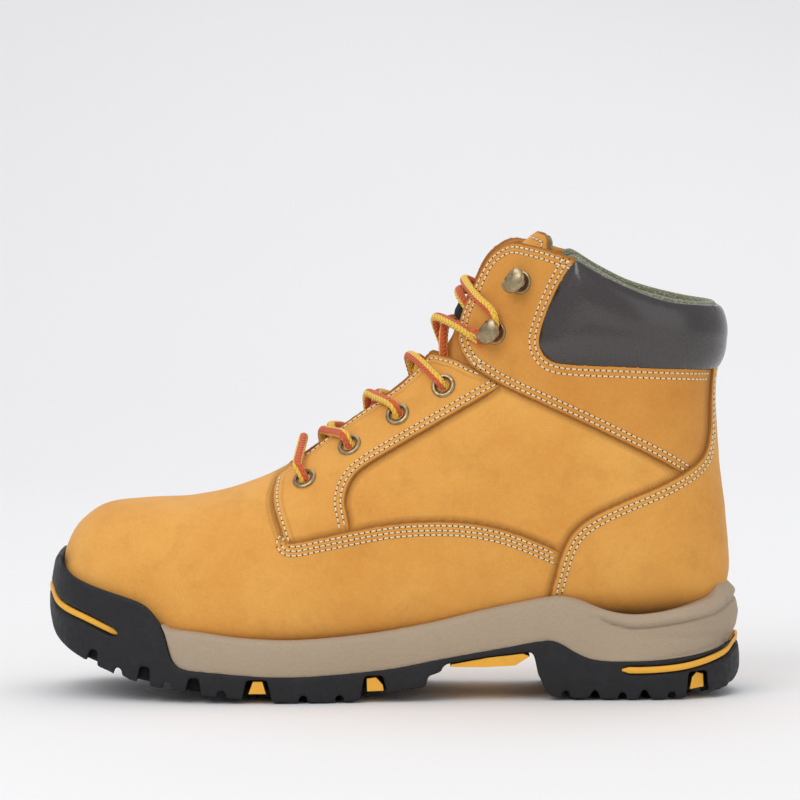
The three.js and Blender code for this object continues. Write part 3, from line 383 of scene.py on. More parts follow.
# The part of the vamp that lies over its neighbours: its side wings.
OUTLINES["wing"] = join(smooth_line(WING_TOP), [[84, 60], [84, -20], [-75, -20], [-75, 62], [-56, 67.5]])
# Which panels lie over each one, and how far its own face stands out away from its edges.
COVERED_BY = {
    "vamp": ["heel_panel"],
    "quarter": ["eyestay", "wing", "hookstay", "heel_panel"],
    "eyestay": ["wing", "hookstay"],
    "hookstay": ["heel_panel"],
    "heel_panel": [],
}
FACE_HEIGHT = {"vamp": 0.0, "quarter": 0.0, "eyestay": 0.75, "hookstay": 0.6, "heel_panel": 0.35}
LAP_RUN = 8.0  # over this much of its width a panel's lapped edge rises
COVER_RUN = 9.0  # over this much it sinks towards the panel over it
SUNK_DEPTH = 1.1  # how much deeper it lies where it is covered
EDGE_LINES = {
    "wing": smooth_line(WING_TOP),
    "tab": smooth_line(TAB_EDGE),
    "eyestay_rear": smooth_line(EYESTAY_REAR),
    "eyestay_top": smooth_line(EYESTAY_TOP),
    "heel": smooth_line(HEEL_FRONT),
    "hookstay_front": smooth_line(HOOKSTAY_FRONT),
    "hookstay_lower": smooth_line(HOOKSTAY_LOWER),
    "collar": smooth_line(COLLAR_LOWER),
}


# ------------------------------------------------------------------ the upper's surface
def section_at(u):
    """A section's nine values at each place u along the list."""
    i = np.clip(np.floor(u).astype(int), 0, LAST - 1)
    t = (u - i)[..., None]
    a, b, c, d = (SECTIONS[np.clip(i + k, 0, LAST)] for k in (-1, 0, 1, 2))
    s0, s1 = (c - a) / 2, (d - b) / 2
    start, end = 2 * t**3 - 3 * t**2 + 1, 3 * t**2 - 2 * t**3
    return start * b + (t**3 - 2 * t**2 + t) * s0 + end * c + (t**3 - t**2) * s1


def oval_point(section, height_share, side_share):
    """A point of a section's oval, by its shares of height and half width."""
    fx, fz, bx, bz, half, centre, widest = (section[..., k] for k in range(7))
    up = widest + np.where(height_share < 0, widest, 1 - widest) * height_share
    return np.stack([bx + (fx - bx) * up, centre + np.maximum(half, 0) * side_share, bz + (fz - bz) * up], -1)


def skin(u, angle):
    """A point of the upper's outer face; angle 0 is its front, negative angles are lateral."""
    section = section_at(u)
    c, n = np.cos(angle), np.sin(angle)
    square = np.where(c >= 0, section[..., 7], section[..., 8])
    r = (np.abs(c) ** square + np.abs(n) ** square) ** (-1 / square)
    return oval_point(section, c * r, n * r)


def unit(vectors):
    """Vectors brought to length 1."""
    return vectors / np.maximum(np.linalg.norm(vectors, axis=-1), 1e-9)[..., None]


def skin_normal(u, angle):
    """The outward normal there."""
    step = 0.01
    seam = skin(np.minimum(u + step, LAST), angle) - skin(np.maximum(u - step, 0.02), angle)
    around = skin(u, angle + step) - skin(u, angle - step)
    return unit(np.cross(seam, around))


def front_point(u, y):
    """A point of the front half at a distance y from the section's centre."""
    section = section_at(u)
    share = np.clip(y / np.maximum(section[..., 4], 1e-6), -1, 1)
    square = section[..., 7]
    return oval_point(section, (1 - np.abs(share) ** square) ** (1 / square), share)


def front_normal(u, y):
    """The outward normal there."""
    step = 0.05
    seam = front_point(u + step, y) - front_point(u - step, y)
    around = front_point(u, y + step) - front_point(u, y - step)
    return unit(np.cross(seam, around))


class Skin:
    """The upper's outer face as a fine grid that the panels are cut from."""

    rows, columns = ((250, 216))

    def __init__(self):
        u = np.linspace(0.35, LAST - 0.02, self.rows)
        angle = np.arange(self.columns) * (2 * math.pi / self.columns)
        self.u, self.angle = (g.ravel() for g in np.meshgrid(u, angle, indexing="ij"))
        self.points = skin(self.u, self.angle)
        self.normals = skin_normal(self.u, self.angle)
        r, k = (g.ravel() for g in np.meshgrid(
            np.arange(self.rows - 1), np.arange(self.columns), indexing="ij"))
        at = lambda row, column: row * self.columns + column % self.columns
        quads = np.stack([at(r, k), at(r + 1, k), at(r + 1, k + 1), at(r, k + 1)], 1)
        self.triangles = np.vstack([quads[:, [0, 1, 2]], quads[:, [0, 2, 3]]])
        a, b, c = (self.points[self.triangles[:, j]] for j in range(3))
        facing = np.einsum("ij,ij->i", np.cross(b - a, c - a), self.normals[self.triangles[:, 0]])
        if np.median(facing) < 0:
            self.triangles = self.triangles[:, ::-1]

    def lift(self, x, z, sign):
        """The surface point of one side that shows at (x, z) from the side, and its normal."""
        side = sign * (self.points[:, 1] - np.interp(self.u, np.arange(LAST + 1), SECTIONS[:, 5])) > 0
        flat = self.points[:, [0, 2]] - [x, z]
        near = np.where(side, np.hypot(*flat.T), 1e9).argmin()
        u, angle = self.u[near], self.angle[near]
        for _ in range(8):
            here = skin(np.array(u), np.array(angle))
            du = (skin(np.array(u + 1e-3), np.array(angle)) - here)[[0, 2]] / 1e-3
            da = (skin(np.array(u), np.array(angle + 1e-3)) - here)[[0, 2]] / 1e-3
            step = np.linalg.lstsq(np.stack([du, da], 1), np.array([x, z]) - here[[0, 2]], rcond=None)[0]
            u, angle = u + np.clip(step[0], -0.3, 0.3), angle + np.clip(step[1], -0.1, 0.1)
        return skin(np.array(u), np.array(angle)), skin_normal(np.array(u), np.array(angle)), u, angle


_made = {}


def upper():
    """The fine grid, made once."""
    if "skin" not in _made:
        _made["skin"] = Skin()
    return _made["skin"]


def throat_field(points):
    """Distance from the opening between the flaps, seen from above; negative inside it."""
    half = np.interp(points[:, 0], *THROAT_EDGE.T)
    return np.abs(points[:, 1] - THROAT_CENTRE) - half


def outline_field(name, points):
    """Distance inside a panel's outline; negative outside."""
    field = inside_distance(points[:, [0, 2]], OUTLINES[name])
    if name in ("eyestay", "hookstay"):
        field = np.minimum(field, throat_field(points))
    return field


def above_floor(points):
    """Height of each point above the line where the leather turns under."""
    return points[:, 2] - np.interp(points[:, 0], *FLOOR_LINE.T) - 3


def level_segments(triangles, field, level):
    """The mesh edges that a level line crosses in each triangle, two a triangle."""
    above = field[triangles] > level
    mixed = triangles[above.any(1) & ~above.all(1)]
    pairs = []
    for tri in mixed:
        cut = []
        for a, b in ((tri[0], tri[1]), (tri[1], tri[2]), (tri[2], tri[0])):
            if (field[a] > level) != (field[b] > level):
                cut.append((min(a, b), max(a, b)))
        pairs.append(cut)
    return pairs


def on_edge(values, field, level, edge):
    """A value where a level line crosses a mesh edge."""
    a, b = edge
    t = (level - field[a]) / (field[b] - field[a])
    return values[a] * (1 - t) + values[b] * t


def level_samples(grid, field, level, per_segment=4):
    """Close points along a level line on the grid."""
    samples = []
    for first, second in level_segments(grid.triangles, field, level):
        a = on_edge(grid.points, field, level, first)
        b = on_edge(grid.points, field, level, second)
        samples += [a + (b - a) * k / per_segment for k in range(per_segment)]
    return np.array(samples)


def level_lines(grid, field, level):
    """Chains of (point, normal) along a level line on the grid."""
    links = {}
    for first, second in level_segments(grid.triangles, field, level):
        links.setdefault(first, []).append(second)
        links.setdefault(second, []).append(first)
    lines = []
    left = set(links)
    while left:
        ends = [e for e in left if len(links[e]) == 1]
        here = min(ends) if ends else min(left)
        chain = []
        while here is not None:
            left.discard(here)
            chain.append(here)
            here = next((e for e in links[here] if e in left), None)
        if len(chain) > 2:
            points = np.array([on_edge(grid.points, field, level, e) for e in chain])
            normals = unit(np.array([on_edge(grid.normals, field, level, e) for e in chain]))
            lines.append((points, normals))
    return lines


def nearest(points, samples, reach=30.0):
    """Distance of each point to the nearest sample, and the way from that sample to it."""
    tree = KDTree(len(samples))
    for i, p in enumerate(samples):
        tree.insert(p, i)
    tree.balance()
    low, high = samples.min(0) - reach, samples.max(0) + reach
    near = ((points > low) & (points < high)).all(1)
    distance = np.full(len(points), reach)
    way = np.zeros_like(points)
    for i in np.flatnonzero(near):
        co, _, d = tree.find(points[i])
        distance[i] = min(d, reach)
        way[i] = points[i] - np.array(co)
    return distance, unit(way)


# ------------------------------------------------------------------ panels
def cover_fade(name, points):
    """1 away from the panels that lie over this one, 0 at their edges."""
    fade = np.ones(len(points))
    for cover in COVERED_BY[name]:
        fade *= ease(-outline_field(cover, points) / COVER_RUN)
    return fade


def face_height(name, points, edge):
    """How far a panel's face stands out from the upper's surface, in mm."""
    lap = sizes().lap / MM
    raised = FACE_HEIGHT[name] + (lap - FACE_HEIGHT[name]) * np.exp(-((edge / LAP_RUN) ** 2))
    if name == "vamp":
        wing = np.interp(points[:, 0], *EDGE_LINES["wing"].T)
        below = ease((wing + 2.5 - points[:, 2]) / 3.0)
        behind = np.where(points[:, 0] < -48, ease((points[:, 0] + 58) / 9.0), 1)
        raised = lap * np.exp(-((edge / LAP_RUN) ** 2)) * below * behind
    return raised * cover_fade(name, points) + ripple(points) - sunk(name, points)


def sunk(name, points):
    """How far a panel lies deeper where another covers it, in mm."""
    depth = np.zeros(len(points))
    for cover in COVERED_BY[name]:
        depth = np.maximum(depth, SUNK_DEPTH * ease((outline_field(cover, points) - 0.8) / 4.0))
    return depth


def ripple(points):
    """Slight unevenness of hand-lasted leather, in mm."""
    x, y, z = points.T / 10
    long_wave = np.sin(0.9 * x + 0.7 * z + 1.3 * y) * np.sin(1.1 * z - 0.5 * x + 2)
    short_wave = np.sin(2.3 * x - 1.9 * z + 2 * y) * np.sin(2.9 * z + 1.7 * x + 1.1 * y)
    return 0.16 * long_wave + 0.07 * short_wave


def panel_edge(name):
    """Close points of a panel's own edges, without its cut at the floor."""
    key = "edge_" + name
    if key not in _made:
        grid = upper()
        _made[key] = level_samples(grid, outline_field(name, grid.points), 0.0)
    return _made[key]


def panel_fields(name):
    """For the grid: the outline's field, the distance to the panel's edge and the way inwards."""
    key = "fields_" + name
    if key not in _made:
        grid = upper()
        field = outline_field(name, grid.points)
        distance, way = nearest(grid.points, panel_edge(name))
        sign = np.where(field >= 0, 1.0, -1.0)
        _made[key] = distance * sign, way * sign[:, None]
    return _made[key]


def clip(triangles, arrays, field, level, snap):
    """Cuts a triangle mesh along a level line. Returns the vertex arrays and the triangles."""
    arrays = [a.copy() for a in arrays]
    points, inward, field = arrays[0], arrays[2], field.copy()
    close = np.abs(field - level) < snap
    points[close] -= inward[close] * (field[close] - level)[:, None]
    field[close] = level
    keep = field >= level
    state = keep[triangles].sum(1)
    whole = triangles[state == 3]
    extra, made, new = {}, [list(a) for a in arrays], []
    count = len(field)

    def crossing(a, b):
        nonlocal count
        edge = (min(a, b), max(a, b))
        if edge not in extra:
            for column in made:
                column.append(on_edge(column, field, level, edge))
            extra[edge] = count
            count += 1
        return extra[edge]

    for tri in triangles[(state > 0) & (state < 3)]:
        loop = []
        for a, b in zip(tri, np.roll(tri, -1)):
            if keep[a]:
                loop.append(a)
            if keep[a] != keep[b] and field[a] != level and field[b] != level:
                loop.append(crossing(a, b))
        for k in range(1, len(loop) - 1):
            new.append([loop[0], loop[k], loop[k + 1]])
    triangles = np.vstack([whole, np.array(new, int).reshape(-1, 3)])
    used, flat = np.unique(triangles, return_inverse=True)
    return [np.array(column)[used] for column in made], flat.reshape(-1, 3)


def border(triangles):
    """The directed edges that only one triangle has."""
    edges = np.vstack([triangles[:, [0, 1]], triangles[:, [1, 2]], triangles[:, [2, 0]]])
    seen = {(a, b) for a, b in edges}
    return [(a, b) for a, b in edges if (b, a) not in seen]


def shell(arrays, triangles, heights, inner, profile):
    """A closed sheet: an outer face at its heights, an inner face, and a wall with that profile
    of (step outwards, drop below the face) from the outer face to the inner one."""
    points, normals, inward = arrays[:3]
    inward = unit(inward - np.einsum("ij,ij->i", inward, normals)[:, None] * normals)
    count = len(points)
    verts = [points + normals * heights[:, None], points + normals * np.asarray(inner)[..., None]]
    faces = [tuple(t) for t in triangles] + [(c + count, b + count, a + count) for a, b, c in triangles]
    edges = border(triangles)
    rim = sorted({v for e in edges for v in e})
    place = {v: i for i, v in enumerate(rim)}
    rings = []
    for out, drop in profile:
        rings.append(2 * count + len(rings) * len(rim))
        height = heights[rim] - drop if drop is not None else np.full(len(rim), -0.5)
        verts.append(points[rim] - inward[rim] * out + normals[rim] * height[:, None])
    for a, b in edges:
        between = [(start + place[a], start + place[b]) for start in rings]
        ladder = [(a, b)] + between + [(a + count, b + count)]
        for (p, q), (r, s) in zip(ladder[:-1], ladder[1:]):
            faces.append((q, p, r, s))
    return np.vstack(verts), faces, rings, rim


def make_object(name, verts, faces, materials, smooth=True, unit_size=MM):
    """A mesh object from vertices in millimetres."""
    mesh = bpy.data.meshes.new(name)
    mesh.from_pydata((np.asarray(verts) * unit_size).tolist(), [], [tuple(int(i) for i in f) for f in faces])
    for material in materials:
        mesh.materials.append(material)
    mesh.validate()
    if smooth:
        mesh.shade_smooth()
    piece = bpy.data.objects.new(name, mesh)
    bpy.context.scene.collection.objects.link(piece)
    return piece


def store(piece, name, values):
    """A number on each vertex that materials read."""
    layer = piece.data.attributes.new(name, "FLOAT", "POINT")
    layer.data.foreach_set("value", np.asarray(values, np.float32))


def settle(piece, body, slot, *nodes):
    """Rides a piece on its body and hides the CAD nodes that it stands for; the slot is not used."""
    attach(piece, body)
    if nodes:
        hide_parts(*nodes)
    return piece


# ------------------------------------------------------------------ materials
class Finish:
    """A material's nodes, with short ways to make and link them."""

    def __init__(self, name):
        self.material = bpy.data.materials.new(name)
        self.material.use_nodes = True
        self.tree = self.material.node_tree
        self.shader = self.tree.nodes["Principled BSDF"]
        self.coords = self.node("ShaderNodeTexCoord").outputs["Object"]

    def node(self, kind, **settings):
        made = self.tree.nodes.new(kind)
        for key, value in settings.items():
            setattr(made, key, value)
        return made

    def link(self, source, target):
        self.tree.links.new(source, target)

    def put(self, socket, value):
        if isinstance(value, bpy.types.NodeSocket):
            self.link(value, socket)
        else:
            socket.default_value = value

    def noise(self, scale, detail=3.0, roughness=0.55, coords=None):
        made = self.node("ShaderNodeTexNoise")
        made.inputs["Scale"].default_value = scale
        made.inputs["Detail"].default_value = detail
        made.inputs["Roughness"].default_value = roughness
        self.link(coords or self.coords, made.inputs["Vector"])
        return made.outputs["Fac"]

    def cells(self, scale, feature="F1", coords=None):
        made = self.node("ShaderNodeTexVoronoi", feature=feature)
        made.inputs["Scale"].default_value = scale
        self.link(coords or self.coords, made.inputs["Vector"])
        return made.outputs["Distance"]

    def math(self, operation, *values):
        made = self.node("ShaderNodeMath", operation=operation)
        for socket, value in zip(made.inputs, values):
            self.put(socket, value)
        return made.outputs[0]

    def remap(self, value, low, high, to_low=0.0, to_high=1.0):
        made = self.node("ShaderNodeMapRange", clamp=True)
        for key, number in zip(("Value", "From Min", "From Max", "To Min", "To Max"),
                               (value, low, high, to_low, to_high)):
            self.put(made.inputs[key], number)
        return made.outputs[0]

    def mix(self, factor, first, second, blend="MIX"):
        made = self.node("ShaderNodeMix", data_type="RGBA", blend_type=blend)
        self.put(made.inputs["Factor"], factor)
        self.put(made.inputs[6], first)
        self.put(made.inputs[7], second)
        return made.outputs[2]

    def attribute(self, name):
        return self.node("ShaderNodeAttribute", attribute_name=name).outputs["Fac"]

    def bump(self, height, distance, strength=1.0):
        """Adds a bump on top of those already there."""
        made = self.node("ShaderNodeBump")
        made.inputs["Strength"].default_value = strength
        made.inputs["Distance"].default_value = distance
        self.link(height, made.inputs["Height"])
        normal = self.shader.inputs["Normal"]
        if normal.is_linked:
            self.link(normal.links[0].from_socket, made.inputs["Normal"])
        self.link(made.outputs["Normal"], normal)

    def set(self, **values):
        for key, value in values.items():
            self.put(self.shader.inputs[key.replace("_", " ")], value)
        return self


def tone(colour, factor):
    """A lighter or darker tone of a colour."""
    return (*[min(1.0, c * factor) for c in colour[:3]], 1.0)


def shared(name, make):
    """A material that is made once."""
    full = name + "_finish"
    if full not in bpy.data.materials:
        make(full)
    return bpy.data.materials[full]


def nubuck(name, warmth=1.0, rows=()):
    """Brushed nubuck: cloudy colour, short nap, raw cut edges and pressed-in stitch rows, with painted shade
    beside the edges of the panels over it and in the stitch grooves.
    """
    finish = Finish(name)
    light, main = colours().nubuck_light, colours().nubuck
    main = (main[0] * warmth, main[1] * warmth**1.6, main[2] * warmth**2.2, 1)
    light = (light[0] * warmth, light[1] * warmth**1.6, light[2] * warmth**2.2, 1)
    clouds = finish.remap(finish.noise(17, 5.0, 0.62), 0.34, 0.68)
    base = finish.mix(clouds, main, light)
    patches = finish.remap(finish.noise(75, 4.0, 0.6), 0.5, 0.78)
    base = finish.mix(finish.math("MULTIPLY", patches, 0.42), base, tone(main, 0.72))
    strokes = finish.noise(460, 3.0, 0.7)
    base = finish.mix(finish.remap(strokes, 0.3, 0.75, 0.0, 0.24), base, tone(light, 1.12))
    nap = finish.noise(2600, 2.0, 0.8)
    base = finish.mix(finish.remap(nap, 0.35, 0.75, 0.0, 0.42), base, tone(main, 0.62))
    edge = finish.attribute("edge")
    ragged = finish.math("ADD", edge, finish.math("MULTIPLY", finish.math("SUBTRACT", nap, 0.5), 0.55))
    raw = finish.remap(ragged, 0.25, 1.05, 1.0, 0.0)
    base = finish.mix(raw, base, tuple(colours().raw_edge))
    worn = finish.remap(ragged, 0.7, 2.6, 0.28, 0.0)
    base = finish.mix(worn, base, tone(main, 0.7))
    # Painted shade: the face darkens towards the edges of the panels that lie over it.
    under = finish.attribute("under")
    base = finish.mix(finish.remap(under, 0.0, 3.2, 0.62, 0.0), base, tone(colours().raw_edge, 0.45))
    groove = None
    for row in rows:
        dip = finish.remap(finish.math("ABSOLUTE", finish.math("SUBTRACT", edge, row)), 0.0, 0.75, 1.0, 0.0)
        groove = dip if groove is None else finish.math("MAXIMUM", groove, dip)
    if groove is not None:
        # Painted shade: the pressed-in stitch grooves are drawn darker.
        base = finish.mix(finish.math("MULTIPLY", groove, 0.22), base, tone(main, 0.55))
        finish.bump(finish.math("MULTIPLY", groove, -1.0), 0.00035, 0.9)
    finish.bump(finish.noise(900, 4.0, 0.65), 0.00022, 0.5)
    finish.bump(nap, 0.00012, 0.55)
    finish.set(Base_Color=base, Roughness=finish.remap(nap, 0.2, 0.8, 0.82, 0.98))
    finish.set(Sheen_Weight=0.22, Sheen_Roughness=0.45, Sheen_Tint=(1.0, 0.86, 0.62, 1))
    finish.set(Specular_IOR_Level=0.22)


def cream_thread(name):
    """Twisted polyester sewing thread."""
    finish = Finish(name)
    twist = finish.noise(3200, 2.0, 0.6)
    colour = colours().thread
    finish.set(Base_Color=finish.mix(finish.remap(twist, 0.3, 0.7), tone(colour, 0.72), tone(colour, 1.05)))
    finish.set(Roughness=0.7, Sheen_Weight=0.3)
    finish.bump(twist, 0.0001, 0.8)


def needle_hole_shade(name):
    """Painted shade of the hole that the needle leaves: a dark brown spot."""
    finish = Finish(name)
    shade = finish.noise(1500, 1.0)
    finish.set(Base_Color=finish.mix(shade, linear(74, 40, 14), linear(112, 66, 24)), Roughness=1.0)
    finish.set(Specular_IOR_Level=0.05)


def collar_leather(name):
    """Smooth glossy garment leather with a fine pebble."""
    finish = Finish(name)
    pebble = finish.cells(950, "SMOOTH_F1")
    base = finish.mix(finish.noise(40, 3.0), tone(colours().collar, 0.8), tone(colours().collar, 1.35))
    finish.set(Base_Color=base, Roughness=finish.remap(finish.noise(700, 3.0), 0.3, 0.7, 0.2, 0.3))
    finish.set(Specular_IOR_Level=0.95)
    finish.bump(pebble, 0.00012, 0.3)
    finish.bump(finish.noise(110, 2.0), 0.0008, 0.12)


def mesh_fabric(name):
    """Knitted spacer mesh whose holes between the yarns are darkened as painted shade."""
    finish = Finish(name)
    holes = finish.cells(820)
    yarn = finish.remap(holes, 0.25, 0.5, 1.0, 0.0)
    # Painted shade: the holes between the yarns get a darker copy of the mesh colour.
    base = finish.mix(yarn, tone(colours().mesh, 0.42), tuple(colours().mesh))
    base = finish.mix(finish.remap(finish.noise(60), 0.4, 0.7, 0.0, 0.25), base, tone(colours().mesh, 0.7))
    finish.set(Base_Color=base, Roughness=0.95, Sheen_Weight=0.3, Specular_IOR_Level=0.2)
    finish.bump(yarn, 0.0005, 0.8)
    finish.bump(finish.noise(4000, 2.0), 0.0001, 0.5)


def black_rubber(name):
    """Moulded outsole rubber: dull, finely grained, paler where it is rubbed."""
    finish = Finish(name)
    grain = finish.noise(2100, 3.0, 0.7)
    dust = finish.remap(finish.noise(55, 6.0, 0.7), 0.52, 0.8, 0.0, 0.5)
    base = finish.mix(dust, tuple(colours().rubber), tone(colours().rubber, 1.9))
    base = finish.mix(finish.remap(grain, 0.62, 0.8, 0.0, 0.35), base, tone(colours().rubber, 2.6))
    finish.set(Base_Color=base, Roughness=finish.remap(finish.noise(300, 4.0), 0.3, 0.7, 0.5, 0.72))
    finish.set(Specular_IOR_Level=0.28)
    finish.bump(grain, 0.00018, 0.45)
    finish.bump(finish.noise(240, 4.0), 0.0005, 0.22)


def accent_rubber(name):
    """Coloured rubber, slightly worn."""
    finish = Finish(name)
    speck = finish.noise(900, 4.0, 0.7)
    worn = finish.remap(finish.noise(140, 4.0, 0.7), 0.5, 0.75, 0.0, 0.35)
    base = finish.mix(worn, tuple(colours().accent), tone(colours().accent, 0.72))
    finish.set(Base_Color=base, Roughness=finish.remap(speck, 0.3, 0.7, 0.42, 0.62))
    finish.bump(speck, 0.00015, 0.4)


def moulded_foam(name):
    """Taupe polyurethane with a leather-like pebble and pale scuffs, and painted shade in the pebble's pits
    and along the heel crease.
    """
    finish = Finish(name)
    pebble = finish.cells(1000, "SMOOTH_F1")
    colour = colours().midsole
    base = finish.mix(finish.noise(25, 4.0), tone(colour, 0.90), tone(colour, 1.08))
    flecks = finish.remap(finish.noise(1300, 4.0, 0.75), 0.66, 0.76, 0.0, 0.5)
    base = finish.mix(flecks, base, tone(colour, 1.5))
    # Painted shade in the pebble's pits.
    base = finish.mix(finish.remap(pebble, 0.0, 0.35, 0.28, 0.0), base, tone(colour, 0.66))
    # Painted shade along the heel crease.
    crease = finish.remap(finish.attribute("crease"), 0.0, 0.9, 0.55, 0.0)
    base = finish.mix(crease, base, tone(colour, 0.45))
    finish.set(Base_Color=base, Roughness=finish.remap(finish.noise(500, 3.0), 0.3, 0.7, 0.6, 0.8))
    finish.set(Specular_IOR_Level=0.35)
    finish.bump(pebble, 0.0006, 0.4)
    finish.bump(finish.noise(2500, 3.0), 0.0001, 0.4)


def antique_brass(name):
    """Darkened brass plating, rubbed bright in places."""
    finish = Finish(name)
    patina = finish.remap(finish.noise(480, 4.0, 0.65), 0.34, 0.7)
    colour = colours().brass
    base = finish.mix(patina, tone(colour, 0.52), tone(colour, 1.1))
    finish.set(Base_Color=base, Metallic=1.0, Roughness=finish.remap(patina, 0.0, 1.0, 0.42, 0.28))
    finish.bump(finish.noise(1500, 2.0), 0.00004, 0.3)


def steel(name):
    """Plain rolled steel."""
    finish = Finish(name)
    brushed = finish.noise(900, 5.0, 0.8)
    finish.set(Base_Color=finish.mix(brushed, linear(120, 122, 126), linear(168, 170, 174)), Metallic=1.0)
    finish.set(Roughness=finish.remap(brushed, 0.2, 0.8, 0.3, 0.5))
    finish.bump(brushed, 0.0001, 0.4)


def fibre_board(name):
    """Pressed fibre board."""
    finish = Finish(name)
    fibre = finish.noise(700, 6.0, 0.75)
    finish.set(Base_Color=finish.mix(fibre, linear(150, 124, 88), linear(196, 172, 132)), Roughness=0.95)
    finish.bump(fibre, 0.0003, 0.5)


def foam_textile(name):
    """Dark flat textile over the footbed's foam."""
    finish = Finish(name)
    weave = finish.cells(1100)
    base = finish.mix(finish.remap(weave, 0.2, 0.55), linear(74, 76, 80), linear(36, 38, 42))
    finish.set(Base_Color=base, Roughness=0.95, Sheen_Weight=0.25)
    finish.bump(weave, 0.0004, 0.6)


def lace_braid(name):
    """Round braid: stripes of slanting yellow and rust strands along the cord, with painted shade in the
    valleys between stitches.
    """
    finish = Finish(name)
    place = finish.node("ShaderNodeSeparateXYZ")
    uv = finish.node("ShaderNodeUVMap", uv_map="along_round")
    finish.link(uv.outputs["UV"], place.inputs[0])
    length, round_ = place.outputs[0], place.outputs[1]
    column = finish.math("MULTIPLY", round_, 8.0)
    share = finish.math("FRACT", column)
    parity = finish.math("MODULO", finish.math("FLOOR", column), 2.0)
    slant = finish.math("ABSOLUTE", finish.math("SUBTRACT", finish.math("MULTIPLY", parity, 1.0), share))
    stitch = finish.math("FRACT", finish.math("ADD", length, finish.math("MULTIPLY", slant, 0.8)))
    group = finish.math("FLOOR", finish.math("MULTIPLY", column, 0.5))
    rust = finish.remap(finish.math("MODULO", group, 2.0), 0.4, 0.6)
    base = finish.mix(rust, tuple(colours().lace), tuple(colours().fleck))
    valley = finish.math("MULTIPLY", finish.math("ABSOLUTE", finish.math("SUBTRACT", stitch, 0.5)), 2.0)
    # Painted shade: the valleys between the braid's stitches are drawn dark.
    base = finish.mix(finish.remap(valley, 0.62, 1.0, 0.0, 0.62), base, linear(150, 70, 20))
    finish.set(Base_Color=base, Roughness=0.72, Sheen_Weight=0.25)
    finish.bump(finish.math("SUBTRACT", 1.0, valley), 0.0005, 0.9)
    finish.bump(finish.noise(5200, 2.0), 0.0001, 0.5)


def lace_film(name):
    """Clear film shrunk over the lace's end."""
    finish = Finish(name)
    strands = finish.noise(1400, 3.0)
    finish.set(Base_Color=finish.mix(strands, linear(206, 120, 40), linear(240, 190, 60)), Roughness=0.22)
    finish.set(Coat_Weight=0.6, Coat_Roughness=0.1)
    finish.bump(strands, 0.0001, 0.4)


def webbing(name):
    """Black ribbed webbing; it also serves as the painted shade inside the eyelets."""
    finish = Finish(name)
    ribs = finish.noise(1500, 2.0, 0.7)
    finish.set(Base_Color=finish.mix(ribs, linear(16, 17, 20), linear(44, 46, 52)), Roughness=0.85)
    finish.bump(ribs, 0.0003, 0.7)


# ------------------------------------------------------------------ thread
def resample(points, spacing):
    """Points at even steps along a line, with the lengths at which they lie."""
    run = np.r_[0, np.cumsum(np.linalg.norm(np.diff(points, axis=0), axis=1))]
    places = np.arange(0, run[-1], spacing)
    return np.stack([np.interp(places, run, points[:, k]) for k in range(points.shape[1])], 1)


def stitch_meshes(lines, pitch, diameter):
    """Threads, and dark spots of painted needle-hole shade, along lines of (points, normals), as two vertex
    and face lists.
    """
    thread, thread_faces, hole, hole_faces = [], [], [], []
    radius = diameter / 2
    ring = [(math.cos(a), math.sin(a)) for a in np.arange(6) * math.pi / 3]
    shape = [(-0.41, -0.34, 0.55), (-0.34, 0.05, 0.95), (-0.12, 0.26, 1.05), (0.12, 0.26, 1.05),
             (0.34, 0.05, 0.95), (0.41, -0.34, 0.55)]
    for points, normals in lines:
        both = resample(np.hstack([points, normals]), pitch)
        for here, after in zip(both[:-1], both[1:]):
            a, b = here[:3], after[:3]
            way = unit(b - a)
            up = unit(here[3:] + after[3:])
            across = np.cross(up, way)
            middle, span = (a + b) / 2, np.linalg.norm(b - a)
            start = len(thread)
            for along, lift, fat in shape:
                core = middle + way * along * span + up * lift * diameter
                for c, s in ring:
                    thread.append(core + (across * c + up * s) * radius * fat)
            for k in range(len(shape) - 1):
                for j in range(6):
                    p, q = start + k * 6 + j, start + k * 6 + (j + 1) % 6
                    thread_faces.append((p, q, q + 6, p + 6))
            thread_faces.append(tuple(start + j for j in range(5, -1, -1)))
            thread_faces.append(tuple(start + (len(shape) - 1) * 6 + j for j in range(6)))
            # A small dark prism at each needle hole: painted shade of the hole.
            start = len(hole)
            for height in (0.07, -0.3):
                for c, s in ring:
                    hole.append(a + way * s * radius * 1.05 + across * c * radius * 1.25 + up * height)
            hole_faces.append(tuple(start + j for j in range(6)))
            hole_faces.append(tuple(start + 6 + j for j in range(5, -1, -1)))
            for j in range(6):
                n = (j + 1) % 6
                hole_faces.append((start + j, start + 6 + j, start + 6 + n, start + n))
    return thread, thread_faces, hole, hole_faces


def add_stitching(name, lines, body, slot):
    """One object of thread and the painted shade of its needle holes."""
    pitch, diameter = sizes().stitch / MM, sizes().thread / MM
    thread, thread_faces, hole, hole_faces = stitch_meshes(lines, pitch, diameter)
    if not thread:
        raise RuntimeError(f"{name} has no stitches")
    count = len(thread)
    faces = thread_faces + [tuple(i + count for i in f) for f in hole_faces]
    materials = [shared("cream_thread", cream_thread), shared("needle_hole_shade", needle_hole_shade)]
    piece = make_object(name, np.vstack([thread, hole]), faces, materials)
    index = np.r_[np.zeros(len(thread_faces), int), np.ones(len(hole_faces), int)]
    piece.data.polygons.foreach_set("material_index", index)
    return settle(piece, body, slot)


def split_where(points, normals, allowed, least=4.0):
    """The stretches of a line where it is allowed, without very short ones."""
    stretches, start = [], None
    for i, ok in enumerate(list(allowed) + [False]):
        if ok and start is None:
            start = i
        elif not ok and start is not None:
            part = points[start:i]
            if len(part) > 2 and np.linalg.norm(np.diff(part, axis=0), axis=1).sum() > least:
                stretches.append((part, normals[start:i]))
            start = None
    return stretches


def smooth_run(points, passes=3):
    """Evens out small steps of a line that was cut from a mesh."""
    points = points.copy()
    for _ in range(passes):
        points[1:-1] = (points[:-2] + 2 * points[1:-1] + points[2:]) / 4
    return points


